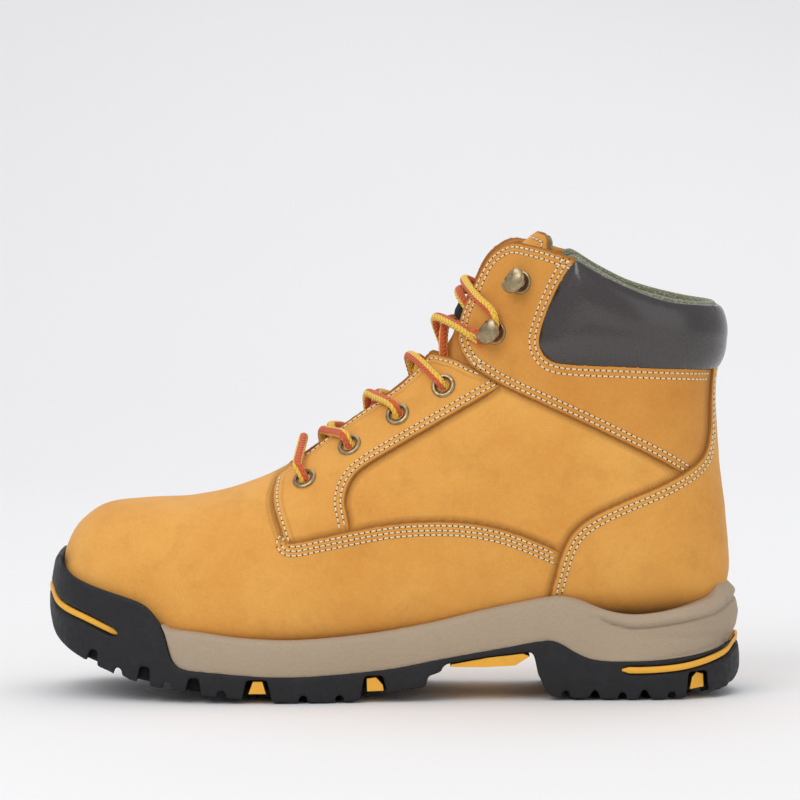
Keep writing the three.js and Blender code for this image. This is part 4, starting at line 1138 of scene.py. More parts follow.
def seam_rows(panel, edges, distances):
    """Stitch lines on a panel at those distances from one or more of its edge lines."""
    grid = upper()
    border_points = panel_edge("collar_pad" if edges == ["collar"] else panel)
    flat = border_points[:, [0, 2]]
    near = np.zeros(len(flat), bool)
    for edge in edges:
        if edge == "throat":
            near |= np.abs(throat_field(border_points)) < 0.6
        else:
            near |= line_distance(flat, EDGE_LINES[edge]) < 0.5
    distance, _ = nearest(grid.points, border_points[near], 12.0)
    lines = []
    for row in distances:
        for points, normals in level_lines(grid, distance, row):
            points = smooth_run(points)
            inside = outline_field(panel, points) > 0.9
            if "collar" in edges:
                inside &= outline_field("collar_pad", points) < 0
            for cover in COVERED_BY[panel]:
                inside &= outline_field(cover, points) < -0.6
            inside &= above_floor(points) > 14
            for part, up in split_where(points, normals, inside):
                own, _ = nearest(part, panel_edge(panel), 30.0)
                height = face_height(panel, part, own)
                lines.append((part + up * height[:, None], up))
    return lines


# ------------------------------------------------------------------ leather pieces
RAW_EDGE = [(0.34, 0.06), (0.62, 0.34), (0.66, 0.85), (0.55, None)]
EDGE_ROUND = 0.5  # a panel's flat face ends this far inside its edge
SNAP = 0.35  # grid points this near a cut are moved onto it
STITCH_ROWS = {"vamp": (2, 4, 6), "eyestay": (2, 4.4), "hookstay": (2, 4.5), "heel_panel": (2.7, 5.0)}


# The panels that come as a pair: name, material slot and warmth of the leather.
PAIRED_PANELS = (
    ("quarter", "nubuck", 1.0), ("eyestay", "eyestay_nubuck", 1.0), ("hookstay", "ankle_nubuck", 0.88))


def cut_panel(name, side=None):
    """A panel's vertex arrays and triangles, cut from the upper's fine grid."""
    grid = upper()
    edge, inward = panel_fields(name)
    lowest = above_floor(grid.points)
    cut = np.minimum(edge, lowest)
    inwards = np.where((edge < lowest)[:, None], inward, np.array([0, 0, 1.0]))
    if side is not None:
        middle = side * grid.points[:, 1]
        inwards = np.where((middle < cut)[:, None], np.array([0, side, 0.0]), inwards)
        cut = np.minimum(cut, middle + EDGE_ROUND - 0.2)
    arrays, triangles = clip(
        grid.triangles, [grid.points, grid.normals, inwards, edge], cut, EDGE_ROUND, SNAP)
    return arrays, triangles


def under_distance(name, points):
    """How far each point lies from the edges of the panels over it, in mm; the painted shade beside those
    edges follows it.
    """
    distance = np.full(len(points), 9.0)
    for cover in COVERED_BY[name]:
        distance = np.minimum(distance, np.abs(outline_field(cover, points)))
    if name == "vamp":
        ahead = line_distance(points[:, [0, 2]], EDGE_LINES["tab"])
        distance = np.minimum(distance, np.where(points[:, 2] > 69, ahead, 9.0))
    return distance


def leather_piece(name, node, material, side=None):
    """A leather panel as a closed sheet with raw cut edges."""
    arrays, triangles = cut_panel(name, side)
    points, normals, _, edge = arrays
    heights = face_height(name, points, np.maximum(edge, 0))
    inner = np.full(len(points), -sizes().leather / MM)
    verts, faces, rings, rim = shell(arrays, triangles, heights, inner, RAW_EDGE)
    rng = np.random.default_rng(len(points))
    for start in rings[:3]:
        verts[start:start + len(rim)] += rng.normal(0, 0.09, (len(rim), 3))
    piece = make_object(node, verts, faces, [material])
    edges = np.full(len(verts), 0.0)
    edges[:len(points)] = np.maximum(edge, 0)
    edges[len(points):2 * len(points)] = 9.0
    for start in rings:
        edges[start:start + len(rim)] = np.where(edge[rim] < 3, 0.0, 9.0)
    store(piece, "edge", edges)
    # Distance for the painted shade beside the edges of the panels over this one.
    under = np.full(len(verts), 9.0)
    under[:len(points)] = under_distance(name, points)
    store(piece, "under", under)
    return piece


class BOOT_OT_leather(bpy.types.Operator):
    """Cuts the leather panels, lapped over each other, from the lasted surface"""

    bl_idname = "boot.leather"
    bl_label = "Leather panels"

    def execute(self, context):
        def material(name, rows, warmth=1.0):
            return shared(name, lambda made: nubuck(made, warmth, rows))

        wheat = material("nubuck_vamp", STITCH_ROWS["vamp"])
        settle(leather_piece("vamp", "vamp_leather", wheat), "boot", "nubuck", "vamp")
        back = material("nubuck_heel", STITCH_ROWS["heel_panel"])
        settle(leather_piece("heel_panel", "heel_leather", back), "boot", "nubuck", "heel_panel")
        for side, sign in SIDES:
            for name, slot, warmth in PAIRED_PANELS:
                leather = material("nubuck_" + name, STITCH_ROWS.get(name, ()), warmth)
                piece = leather_piece(name, f"{name}_leather_{side}", leather, sign)
                settle(piece, "boot", slot, f"{name}_{side}")
        return {"FINISHED"}


class BOOT_OT_stitching(bpy.types.Operator):
    """Sews every seam with single stitches and painted shade at their needle holes"""

    bl_idname = "boot.stitching"
    bl_label = "Stitching"

    def execute(self, context):
        add_stitching("stitches_wing", seam_rows("vamp", ["wing"], (2, 4, 6)), "boot", "nubuck")
        add_stitching("stitches_heel", seam_rows("heel_panel", ["heel"], (2.7, 5.0)), "boot", "nubuck")
        rear = seam_rows("eyestay", ["eyestay_rear"], (2.2, 4.6))
        front = seam_rows("eyestay", ["tab", "throat", "eyestay_top"], (2.0,))
        add_stitching("stitches_eyestay", rear + front, "boot", "eyestay_nubuck")
        top = seam_rows("hookstay", ["hookstay_front", "throat"], (2.0, 4.5))
        low = seam_rows("hookstay", ["hookstay_lower"], (2.0, 4.5))
        round_pad = seam_rows("hookstay", ["collar"], (2.7, 5.2))
        add_stitching("stitches_hookstay", top + low + round_pad, "boot", "ankle_nubuck")
        return {"FINISHED"}


class BOOT_OT_collar(bpy.types.Operator):
    """Makes the padded leather collar"""

    bl_idname = "boot.collar"
    bl_label = "Padded collar"

    def execute(self, context):
        grid = upper()
        field = inside_distance(grid.points[:, [0, 2]], grow(OUTLINES["collar_pad"], 1.0))
        samples = level_samples(grid, field, 0.0)
        distance, way = nearest(grid.points, samples, 40.0)
        sign = np.where(field >= 0, 1.0, -1.0)
        arrays, triangles = clip(
            grid.triangles, [grid.points, grid.normals, way * sign[:, None], distance * sign],
            distance * sign, EDGE_ROUND, SNAP)
        edge = np.maximum(arrays[3], 0)
        bulge = sizes().collar_bulge / MM
        crown = 1 - (1 - np.clip(edge / 15.0, 0, 1)) ** 2.2
        belly = 1 - 0.1 * ease((edge - 12) / 10)
        x, y, z = arrays[0].T
        folds = 0.12 * np.sin(z * 0.55 + 0.4 * np.sin(x * 0.11)) * ease((x - 120) / 20)
        heights = 0.2 + (bulge - 0.2) * crown**0.62 * belly + folds * crown
        inner = -6.0 + 1.5 * (1 - crown)
        verts, faces, _, _ = shell(arrays, triangles, heights, inner, [(0.4, 0.3), (0.6, 1.2), (0.5, 2.4)])
        pad = make_object("padded_collar", verts, faces, [shared("collar_leather", collar_leather)])
        settle(pad, "boot", "collar_leather", "collar_pad")
        return {"FINISHED"}


class BOOT_OT_lining(bpy.types.Operator):
    """Makes the mesh lining with its rolled edge above the collar"""

    bl_idname = "boot.lining"
    bl_label = "Lining"

    def execute(self, context):
        grid = upper()
        field = inside_distance(grid.points[:, [0, 2]], OUTLINES["lining"])
        samples = level_samples(grid, field, 0.0)
        distance, way = nearest(grid.points, samples, 12.0)
        sign = np.where(field >= 0, 1.0, -1.0)
        low = above_floor(grid.points) - 1
        edge = distance * sign
        cut = np.minimum(edge, low)
        inward = np.where((edge < low)[:, None], way * sign[:, None], np.array([0, 0, 1.0]))
        arrays, triangles = clip(
            grid.triangles, [grid.points, grid.normals, inward, edge], cut, EDGE_ROUND, SNAP)
        heights = np.full(len(arrays[0]), -2.0)
        roll = [(0.9, 0.6), (1.4, 1.6), (1.45, 2.6), (1.0, 3.6)]
        verts, faces, _, _ = shell(arrays, triangles, heights, np.full(len(arrays[0]), -6.3), roll)
        piece = make_object("mesh_lining", verts, faces, [shared("mesh_fabric", mesh_fabric)])
        settle(piece, "boot", "lining_mesh", "lining")
        return {"FINISHED"}


# ------------------------------------------------------------------ tongue
def tongue_points(u, share, depth):
    """A point of the tongue at a depth below its face; share runs from -1 to 1 across it."""
    y = share * np.interp(u, *TONGUE_HALF.T)
    t = ease((np.abs(y) - 5) / 7)
    height = np.interp(u, *TONGUE_MIDDLE.T) * (1 - t) + np.interp(u, *TONGUE_WING.T) * t
    return front_point(u, y) + front_normal(u, y) * (height - depth)[..., None]


def sheet_grid(top, bottom):
    """Closed mesh between two grids of the same shape."""
    rows, columns = top.shape[:2]
    count = rows * columns
    verts = np.vstack([top.reshape(-1, 3), bottom.reshape(-1, 3)])
    at = lambda r, c: r * columns + c
    faces = []
    for r in range(rows - 1):
        for c in range(columns - 1):
            quad = (at(r, c), at(r, c + 1), at(r + 1, c + 1), at(r + 1, c))
            faces.append(quad)
            faces.append(tuple(i + count for i in reversed(quad)))
    rim = [at(0, c) for c in range(columns)] + [at(r, columns - 1) for r in range(1, rows)]
    rim += [at(rows - 1, c) for c in range(columns - 2, -1, -1)] + [at(r, 0) for r in range(rows - 2, 0, -1)]
    for a, b in zip(rim, rim[1:] + rim[:1]):
        faces.append((b, a, a + count, b + count))
    return verts, faces


def tongue_sheet(face_depth, back_depth, pinch, rows=72, columns=40):
    """The tongue's outline between two depths, its edges pinched together."""
    u, share = np.meshgrid(
        np.linspace(TONGUE_FROM, TONGUE_TO, rows), np.sin(np.linspace(-1, 1, columns) * math.pi / 2),
        indexing="ij")
    half = np.interp(u, *TONGUE_HALF.T)
    rim = np.minimum((1 - np.abs(share)) * half, (TONGUE_TO - u) * 11 + 0.3)
    closing = np.sqrt(np.clip(1 - (1 - np.clip(rim / pinch, 0, 1)) ** 2, 0, 1))
    middle = (face_depth + back_depth) / 2
    reach = (back_depth - face_depth) / 2
    top = tongue_points(u, share, middle - reach * (0.18 + 0.82 * closing))
    bottom = tongue_points(u, share, middle + reach * (0.18 + 0.82 * closing))
    return *sheet_grid(top, bottom), rim


class BOOT_OT_tongue(bpy.types.Operator):
    """Makes the padded tongue, its stitching and its lace keeper"""

    bl_idname = "boot.tongue"
    bl_label = "Tongue"

    def execute(self, context):
        leather = shared("nubuck_tongue", lambda made: nubuck(made, 0.93, (3.0,)))
        verts, faces, rim = tongue_sheet(0.0, 2.0, 1.4)
        face = make_object("tongue_leather", verts, faces, [leather])
        store(face, "edge", np.tile(np.minimum(rim.ravel(), 9), 2))
        store(face, "under", np.full(len(verts), 9.0))
        settle(face, "tongue", "tongue_nubuck", "tongue_face")
        verts, faces, _ = tongue_sheet(1.9, 5.4, 4.0)
        pad = make_object("tongue_padding", verts, faces, [shared("mesh_fabric", mesh_fabric)])
        settle(pad, "tongue", "lining_mesh", "tongue_lining")
        self.sew()
        self.keeper()
        return {"FINISHED"}

    def sew(self):
        """A row of stitches round the tongue's free edge."""
        inset = 3.2
        u = np.linspace(12.4, TONGUE_TO - inset / 11, 90)
        share = 1 - inset / np.interp(u, *TONGUE_HALF.T)
        across = np.linspace(1, -1, 30)[1:-1]
        path_u = np.r_[u, np.full(len(across), u[-1]), u[::-1]]
        path_share = np.r_[-share, -share[-1] * across, share[::-1]]
        points = tongue_points(path_u, path_share, -0.02)
        y = path_share * np.interp(path_u, *TONGUE_HALF.T)
        add_stitching("stitches_tongue", [(points, front_normal(path_u, y))], "tongue", "tongue_nubuck")

    def keeper(self):
        """The webbing loop that the lace runs through."""
        u, share = np.meshgrid(np.linspace(12.35, 13.25, 14), np.linspace(-0.36, 0.36, 26), indexing="ij")
        bow = 1.1 * np.cos(share / 0.36 * math.pi / 2)
        top = tongue_points(u, share, -0.9 - bow)
        bottom = tongue_points(u, share, -0.1 - bow)
        verts, faces = sheet_grid(top, bottom)
        loop = make_object("lace_keeper", verts, faces, [shared("webbing", webbing)])
        settle(loop, "tongue", "collar_leather")


# ------------------------------------------------------------------ sole
def plan_line():
    """The sole's outline from above."""
    return closed_line(SOLE_PLAN)


def wall_ring(profile_at, start=None):
    """Sweeps a closed profile round the sole's plan. profile_at(x, y) gives (inset, z) pairs."""
    plan = resample(np.vstack([plan_line(), plan_line()[:1]]), 1.6)
    if start is not None:
        keep = plan[:, 0] >= start
        first = int(np.argmax(keep & ~np.roll(keep, 1)))
        plan = np.roll(plan, -first, 0)[:int(keep.sum())]
    way = np.gradient(plan, axis=0) if start is not None else np.roll(plan, -1, 0) - np.roll(plan, 1, 0)
    normal = unit(np.c_[way[:, 1], -way[:, 0]])
    rings = []
    for (x, y), n in zip(plan, normal):
        rings.append([[x - n[0] * inset, y - n[1] * inset, z] for inset, z in profile_at(x, y)])
    return np.array(rings)


def ring_faces(rings, closed):
    """Faces that join rings of points into a closed solid."""
    count, size = rings.shape[:2]
    faces = []
    for i in range(count if closed else count - 1):
        for k in range(size):
            a, b = i * size + k, i * size + (k + 1) % size
            c, d = ((i + 1) % count) * size + (k + 1) % size, ((i + 1) % count) * size + k
            faces.append((a, b, c, d))
    if not closed:
        faces.append(tuple(range(size - 1, -1, -1)))
        faces.append(tuple((count - 1) * size + k for k in range(size)))
    return faces


def x_graph(line):
    """Height along a line as a function of x."""
    line = smooth_line(line)
    order = np.argsort(line[:, 0])
    line = line[order]
    return lambda x: float(np.interp(x, line[:, 0], line[:, 1]))


def outward(piece):
    """Turns all faces of a closed mesh outwards."""
    mesh = bmesh.new()
    mesh.from_mesh(piece.data)
    bmesh.ops.recalc_face_normals(mesh, faces=mesh.faces)
    mesh.to_mesh(piece.data)
    mesh.free()
    return piece


class BOOT_OT_midsole(bpy.types.Operator):
    """Moulds the midsole that cups the upper"""

    bl_idname = "boot.midsole"
    bl_label = "Midsole"

    def execute(self, context):
        top, bottom, crease = x_graph(MIDSOLE_TOP), x_graph(MIDSOLE_BOTTOM[1:]), x_graph(HEEL_CREASE)
        back = np.array(MIDSOLE_BACK)[::-1]

        def profile(x, y):
            high, low = top(x), min(bottom(x), top(x) - 0.4)
            tall = max(high - low, 0.5)
            heel = float(ease((x - 84) / 14))
            lean = float(ease((x - 96) / 40))
            pairs = [(12.0, low + 0.2), (1.5, low - 0.6)]
            for k in range(25):
                share = k / 24
                z = low + tall * share
                belly = 0.9 * (2 * share - 1) ** 2
                shoulder = 2.2 * max(0.0, (share - 0.86) / 0.14) ** 2.2
                real = (155 - float(np.interp(z, back[:, 1], back[:, 0]))) * lean
                inset = max(real, belly * (1 - heel) + 0.35) + shoulder * (1 - 0.6 * heel)
                if heel > 0:
                    d = z - crease(x)
                    groove = 1.15 * math.exp(-((d / 0.75) ** 2))
                    roll = 0.9 * math.exp(-(((d - 2.6) / 2.0) ** 2)) - 0.5 * math.exp(-(((d + 3) / 3.0) ** 2))
                    inset += (groove - roll + 0.3) * heel
                pairs.append((inset, z))
            edge = pairs[-1][0]
            pairs += [(edge + 1.0, high + 0.1), (edge + 2.4, high), (max(edge + 4, 6.5), high - 0.3)]
            pairs += [(11.5, high - 0.8), (12.0, high - 4.0)]
            return pairs

        rings = wall_ring(profile, start=-103.0)
        verts = rings.reshape(-1, 3)
        foam = shared("moulded_foam", moulded_foam)
        piece = make_object("midsole_moulding", verts, ring_faces(rings, False), [foam])
        outward(piece)
        # Distance to the heel crease, for the painted shade along it.
        line = np.array(HEEL_CREASE)
        depth = np.abs(verts[:, 2] - np.interp(verts[:, 0], *line.T))
        store(piece, "crease", np.where(verts[:, 0] > 90, depth, 9.0))
        settle(piece, "boot", "midsole_foam", "midsole")
        return {"FINISHED"}


def prism(name, outline, low, high, axis="y"):
    """A closed prism for cutting: an outline in side view carried across, or in plan carried up."""
    outline = np.asarray(outline, float)
    count = len(outline)
    ends = []
    for level in (low, high):
        column = np.full(count, level)
        ends.append(np.c_[outline[:, 0], column, outline[:, 1]] if axis == "y" else np.c_[outline, column])
    faces = [tuple(range(count)), tuple(range(2 * count - 1, count - 1, -1))]
    faces += [(i, i + count, (i + 1) % count + count, (i + 1) % count) for i in range(count)]
    return outward(make_object(name, np.vstack(ends), faces, [], smooth=False))


def joined(name, parts):
    """Several cutters as one object."""
    verts, faces, start = [], [], 0
    for part in parts:
        verts += [v.co[:] for v in part.data.vertices]
        faces += [tuple(i + start for i in f.vertices) for f in part.data.polygons]
        start = len(verts)
        bpy.data.objects.remove(part)
    return make_object(name, np.array(verts), faces, [], smooth=False, unit_size=1.0)


def cut(piece, cutter, operation="DIFFERENCE"):
    """Cuts, joins or intersects a piece with a cutter, which is then removed."""
    modifier = piece.modifiers.new("cut", "BOOLEAN")
    modifier.operation, modifier.object, modifier.solver = operation, cutter, "EXACT"
    modifier.use_self = True
    bake(piece)
    if not piece.data.polygons:
        raise RuntimeError(f"{piece.name} was cut away whole by {cutter.name}")
    bpy.data.objects.remove(cutter)


def bake(piece):
    """Applies every modifier of a piece to its mesh."""
    graph = bpy.context.evaluated_depsgraph_get()
    mesh = bpy.data.meshes.new_from_object(piece.evaluated_get(graph))
    piece.modifiers.clear()
    piece.data = mesh


def edge_prism(name, outline, depth, sign):
    """A side-view outline carried in from beyond the sole's edge, on one side, to that depth."""
    centre = np.asarray(outline, float)
    plan = plan_line()
    side = plan[plan[:, 1] * sign > 0]
    near = side[np.abs(side[:, 0] - centre[:, 0].mean()).argmin()]
    reach = near[1] * sign
    low, high = sorted((sign * (reach - depth), sign * (reach + 12)))
    return prism(name, centre, low, high)


STRIPE_HALF = 1.35


def stripe_path(line):
    """The stripe's way round the sole's wall, from side to side, as (point, outward normal)."""
    line = smooth_line(line)
    toe = line[0, 0] < 0
    plan = resample(np.vstack([plan_line(), plan_line()[:1]]), 0.8)
    way = np.roll(plan, -1, 0) - np.roll(plan, 1, 0)
    normal = unit(np.c_[way[:, 1], -way[:, 0]])
    keep = plan[:, 0] < line[-1, 0] if toe else plan[:, 0] > line[0, 0]
    first = int(np.argmax(keep & ~np.roll(keep, 1)))
    plan, normal = np.roll(plan, -first, 0)[:keep.sum()], np.roll(normal, -first, 0)[:keep.sum()]
    height = np.interp(plan[:, 0], line[:, 0], line[:, 1])
    inset = wall_inset(plan[:, 0], height)
    points = np.c_[plan - normal * inset[:, None], height]
    return points, np.c_[normal, np.zeros(len(normal))]


def wall_inset(x, z):
    """How far the outsole's wall lies inside its plan at each height."""
    toe = np.array(TOE_PROFILE)[::-1]
    at_toe = np.where(x < -100, 155 + np.interp(z, *toe[:, ::-1].T), 0)
    heel = np.array(HEEL_BOTTOM[6:])
    at_heel = np.where(x > 120, 155 - np.interp(z, *heel[:, ::-1].T), 0)
    return (at_toe * ease((-x - 100) / 35) + at_heel * ease((x - 110) / 35)) * 0.9 + 0.3


def stripe_tube(name, line, half, out, depth, material):
    """A flat-backed rounded band along a stripe's path."""
    points, normals = stripe_path(line)
    along = unit(np.gradient(points, axis=0))
    up = unit(np.cross(along, normals))
    up *= np.sign(up[:, 2:3])
    section = [
        (-half, -depth), (-half, out * 0.1), (-half * 0.78, out * 0.75), (0, out), (half * 0.78, out * 0.75),
        (half, out * 0.1), (half, -depth),
    ]
    count = len(points)
    taper = np.sqrt(np.clip(np.minimum(np.arange(count), np.arange(count)[::-1]) / 4.0, 0.12, 1))
    rings = np.stack([points + up * (h * taper)[:, None] + normals * o for h, o in section], 1)
    return outward(make_object(name, rings.reshape(-1, 3), ring_faces(rings, False), material))


class BOOT_OT_outsole(bpy.types.Operator):
    """Moulds the lugged outsole with its toe bumper"""

    bl_idname = "boot.outsole"
    bl_label = "Outsole"

    def execute(self, context):
        side = join(
            smooth_line(TOE_PROFILE), self.grooved(smooth_line(BALL_BOTTOM)), smooth_line(ARCH_BOTTOM),
            self.grooved(smooth_line(HEEL_BOTTOM)),
            smooth_line(MIDSOLE_BOTTOM), smooth_line(BUMPER_TOP)[6:][::-1])
        piece = prism("outsole_moulding", side, -90, 90)
        cut(piece, self.body(), "INTERSECT")
        cut(piece, self.foot_space())
        notches = [edge_prism("notch", n, LUG_DEPTH, s) for n in LUG_NOTCHES for s in (-1, 1)]
        cut(piece, joined("notches", notches))
        cut(piece, prism("arch_window", grow(np.array(ARCH_PLATE, float), 0.5), -91, 91))
        for line in (TOE_STRIPE, HEEL_STRIPE):
            cut(piece, stripe_tube("stripe_groove", line, STRIPE_HALF + 0.9, 3.0, 1.5, []))
        self.mould(piece)
        piece.data.materials.append(shared("black_rubber", black_rubber))
        settle(piece, "boot", "outsole_rubber", "outsole")
        return {"FINISHED"}

    def body(self):
        """The sole's plan as a solid whose wall leans in towards the ground and at the toe's top."""
        def profile(x, y):
            levels = [-6, 0, 2, 5, 9, 14, 20, 26, 32, 38, 44, 50, 56, 60, 66]
            pairs = []
            for z in levels:
                ground = 1.3 * max(0.0, 1 - z / 9)
                top = 2.6 * float(ease((z - 40) / 22)) * float(ease((-x - 95) / 30))
                pairs.append((ground + top + 0.15, z))
            return pairs
        rings = wall_ring(profile)
        count, size = rings.shape[:2]
        faces = []
        for i in range(count):
            for k in range(size - 1):
                a, b = i * size + k, i * size + k + 1
                c, d = ((i + 1) % count) * size + k + 1, ((i + 1) % count) * size + k
                faces.append((a, b, c, d))
        faces.append(tuple(i * size for i in range(count)))
        faces.append(tuple(i * size + size - 1 for i in range(count - 1, -1, -1)))
        return outward(make_object("sole_body", rings.reshape(-1, 3), faces, [], smooth=False))

    def foot_space(self):
        """The lasted upper as a solid, to be taken out of the sole."""
        u = np.linspace(0.35, 15, 60)
        angle = np.arange(48) * (2 * math.pi / 48)
        grid_u, grid_angle = np.meshgrid(u, angle, indexing="ij")
        points = skin(grid_u, grid_angle) + skin_normal(grid_u, grid_angle) * 0.1
        faces = []
        for r in range(59):
            for k in range(48):
                low, high, after = r * 48, (r + 1) * 48, (k + 1) % 48
                faces.append((low + k, high + k, high + after, low + after))
        faces.append(tuple(range(48)))
        faces.append(tuple(59 * 48 + k for k in range(47, -1, -1)))
        return outward(make_object("foot_space", points.reshape(-1, 3), faces, [], smooth=False))

    def grooved(self, line):
        """The tread's line with its grooves across let into it."""
        points = [tuple(p) for p in line]
        for x in TREAD_GROOVES:
            if line[0, 0] + 3 < x < line[-1, 0] - 3:
                z = float(np.interp(x, line[:, 0], line[:, 1]))
                points = [p for p in points if abs(p[0] - x) > 2.1 or p[1] > z + 4]
                first = next(i for i, p in enumerate(points) if p[0] > x)
                points[first:first] = [(x - 2, z), (x - 1.4, z + 3.2), (x + 1.4, z + 3.2), (x + 2, z)]
        return np.array(points)

    def mould(self, piece):
        """Rounds every edge a little, as a mould does."""
        remesh = piece.modifiers.new("remesh", "REMESH")
        remesh.mode, remesh.voxel_size = "VOXEL", 0.8 * MM
        smooth = piece.modifiers.new("smooth", "SMOOTH")
        smooth.factor, smooth.iterations = 0.5, 3
        bake(piece)
        piece.data.shade_smooth()


class BOOT_OT_accents(bpy.types.Operator):
    """Sets the coloured stripes, inlays and arch plate into the sole"""

    bl_idname = "boot.accents"
    bl_label = "Sole accents"

    def execute(self, context):
        rubber = shared("accent_rubber", accent_rubber)
        for end, line in (("toe", TOE_STRIPE), ("heel", HEEL_STRIPE)):
            band = stripe_tube(f"{end}_band", line, STRIPE_HALF, 0.35, 1.6, [rubber])
            settle(band, "boot", "accent_rubber", f"{end}_stripe")
        for node, obj in frame["nodes"].items():
            if "inlay" in node or node == "arch_plate":
                soften(obj, 0.5 * MM)
                dress(obj, rubber)
        return {"FINISHED"}


def soften(obj, width):
    """Rounds a CAD node's hard edges."""
    bevel = obj.modifiers.new("rounded", "BEVEL")
    bevel.width, bevel.segments, bevel.limit_method = width, 3, "ANGLE"


def dress(obj, material):
    """Gives a CAD node a material."""
    obj.data.materials.clear()
    obj.data.materials.append(material)


# ------------------------------------------------------------------ hardware
def place_matrix(x, z, sign):
    """Where a fitting sits: its own X points to the throat and its Y out of the leather."""
    point, normal, u, angle = upper().lift(x, z, sign)
    angle = (angle + math.pi) % (2 * math.pi) - math.pi
    nearer = angle - math.copysign(0.01, angle)
    throat = skin(np.array(u), np.array(nearer)) - skin(np.array(u), np.array(angle))
    throat = unit(throat - normal * (throat @ normal))
    third = np.cross(throat, normal)
    rows = [[throat[k], normal[k], third[k], point[k] * MM] for k in range(3)]
    return Matrix(rows + [[0, 0, 0, 1]])


def lathe(profile, segments=40):
    """A closed ring or solid from a profile of (radius, height) in mm, turned round Y."""
    verts, faces = [], []
    count = len(profile)
    for s in range(segments):
        a = 2 * math.pi * s / segments
        verts += [(r * math.cos(a), h, r * math.sin(a)) for r, h in profile]
    for s in range(segments):
        n = (s + 1) % segments
        for k in range(count):
            j = (k + 1) % count
            faces.append((s * count + k, s * count + j, n * count + j, n * count + k))
    return verts, faces


def rounded(profile, per_span=5):
    """A closed profile with its corners made round."""
    return closed_line(profile, per_span).tolist()


def placed(name, parts, matrix, material):
    """An object of several vertex and face lists, moved to its place, with its place in its mesh."""
    verts, faces = [], []
    for part_verts, part_faces in parts:
        start = len(verts)
        verts += [tuple(v) for v in part_verts]
        faces += [tuple(i + start for i in f) for f in part_faces]
    piece = outward(make_object(name, np.array(verts), faces, [material]))
    piece.data.transform(matrix)
    return piece


def eyelet_face(name):
    """How high the leather's face stands at the eyelets and hooks."""
    return FACE_HEIGHT["eyestay" if name == "eyelet" else "hookstay"]


class BOOT_OT_eyelets(bpy.types.Operator):
    """Presses the rolled eyelets into the eyestays"""

    bl_idname = "boot.eyelets"
    bl_label = "Eyelets"

    def execute(self, context):
        brass = shared("antique_brass", antique_brass)
        dark = shared("webbing", webbing)
        face = eyelet_face("eyelet")
        profile = rounded([
            (3.25, -3.4), (4.7, -3.3), (4.8, -2.9), (3.6, -2.6), (3.6, face - 0.2), (5.2, face + 0.05),
            (5.55, face + 0.35), (5.3, face + 0.75), (4.7, face + 1.0), (4.0, face + 0.95), (3.45, face + 0.5),
            (3.25, face - 1.0),
        ])
        for side, sign in SIDES:
            for i, (x, z) in enumerate(EYELET_PLACES):
                node = f"eyelet_{side}_{i + 1}"
                matrix = place_matrix(x, z, sign)
                ring = placed(f"{node}_ring", [lathe(profile)], matrix, brass)
                settle(ring, "boot", "antique_brass", node)
                # Painted shade: a dark tube in the webbing finish stands for the shade inside the eyelet.
                hole = placed(f"{node}_painted_shade", [eyelet_shade_ring()], matrix, dark)
                settle(hole, "boot", "collar_leather")
        return {"FINISHED"}


def eyelet_shade_ring():
    """Painted shade inside an eyelet: a dark tube, open in the middle."""
    face = eyelet_face("eyelet")
    return lathe([(2.75, -3.0), (3.05, -3.0), (3.05, face + 0.35), (2.9, face + 0.3)], 24)


def hook_cap():
    """A domed D-shaped cap with a hollowed front edge, and the neck that carries it."""
    outline = []
    for a in np.linspace(0.29 * math.pi, 1.71 * math.pi, 44):
        outline.append((0.5 + 5.3 * math.cos(a), 6.1 * math.sin(a)))
    first, last = outline[0], outline[-1]
    for t in np.linspace(0, 1, 10)[1:-1]:
        bend = 2.2
        x = (1 - t) ** 2 * last[0] + 2 * t * (1 - t) * bend + t**2 * first[0]
        y = (1 - t) ** 2 * last[1] + t**2 * first[1]
        outline.append((x, y))
    outline = np.array(outline)
    centre = outline.mean(0)
    verts, faces = [], []
    count = len(outline)
    levels = [(0.0, 1.55), (0.3, 1.48), (0.6, 1.22), (0.85, 0.75), (0.97, 0.3), (1.0, -0.1), (0.98, -0.45),
              (0.9, -0.6), (0.5, -0.45)]
    for share, rise in levels[1:]:
        verts += [(*(centre + (p - centre) * share), rise) for p in outline]
    top, bottom = len(verts), len(verts) + 1
    verts += [(*centre, levels[0][1]), (*centre, -0.4)]
    rings = len(levels) - 1
    for k in range(count):
        n = (k + 1) % count
        faces.append((top, k, n))
        faces.append((bottom, (rings - 1) * count + n, (rings - 1) * count + k))
        for r in range(rings - 1):
            faces.append((r * count + k, (r + 1) * count + k, (r + 1) * count + n, r * count + n))
    lift = eyelet_face("hook") + 6.9
    return [(x, z + lift, -y) for x, y, z in verts], faces


def hook_neck():
    """The folded strip from the base to the cap."""
    face = eyelet_face("hook")
    path = smooth_line([
        (1.5, face + 0.6), (3.4, face + 0.7), (4.5, face + 1.6), (4.7, face + 3.4), (4.3, face + 5.2),
        (3.0, face + 6.4), (1.2, face + 6.7)], 4)
    way = unit(np.gradient(path, axis=0))
    side = np.c_[-way[:, 1], way[:, 0]]
    rings = []
    for p, s, t in zip(path, side, np.linspace(-1, 1, len(path))):
        width = 2.3 + 0.7 * t * t
        corners = [(-1, -1), (1, -1), (1, 1), (-1, 1)]
        rings.append([(p[0] + s[0] * 0.5 * a, p[1] + s[1] * 0.5 * a, width * b) for a, b in corners])
    rings = np.array(rings)
    return rings.reshape(-1, 3), ring_faces(rings, False)


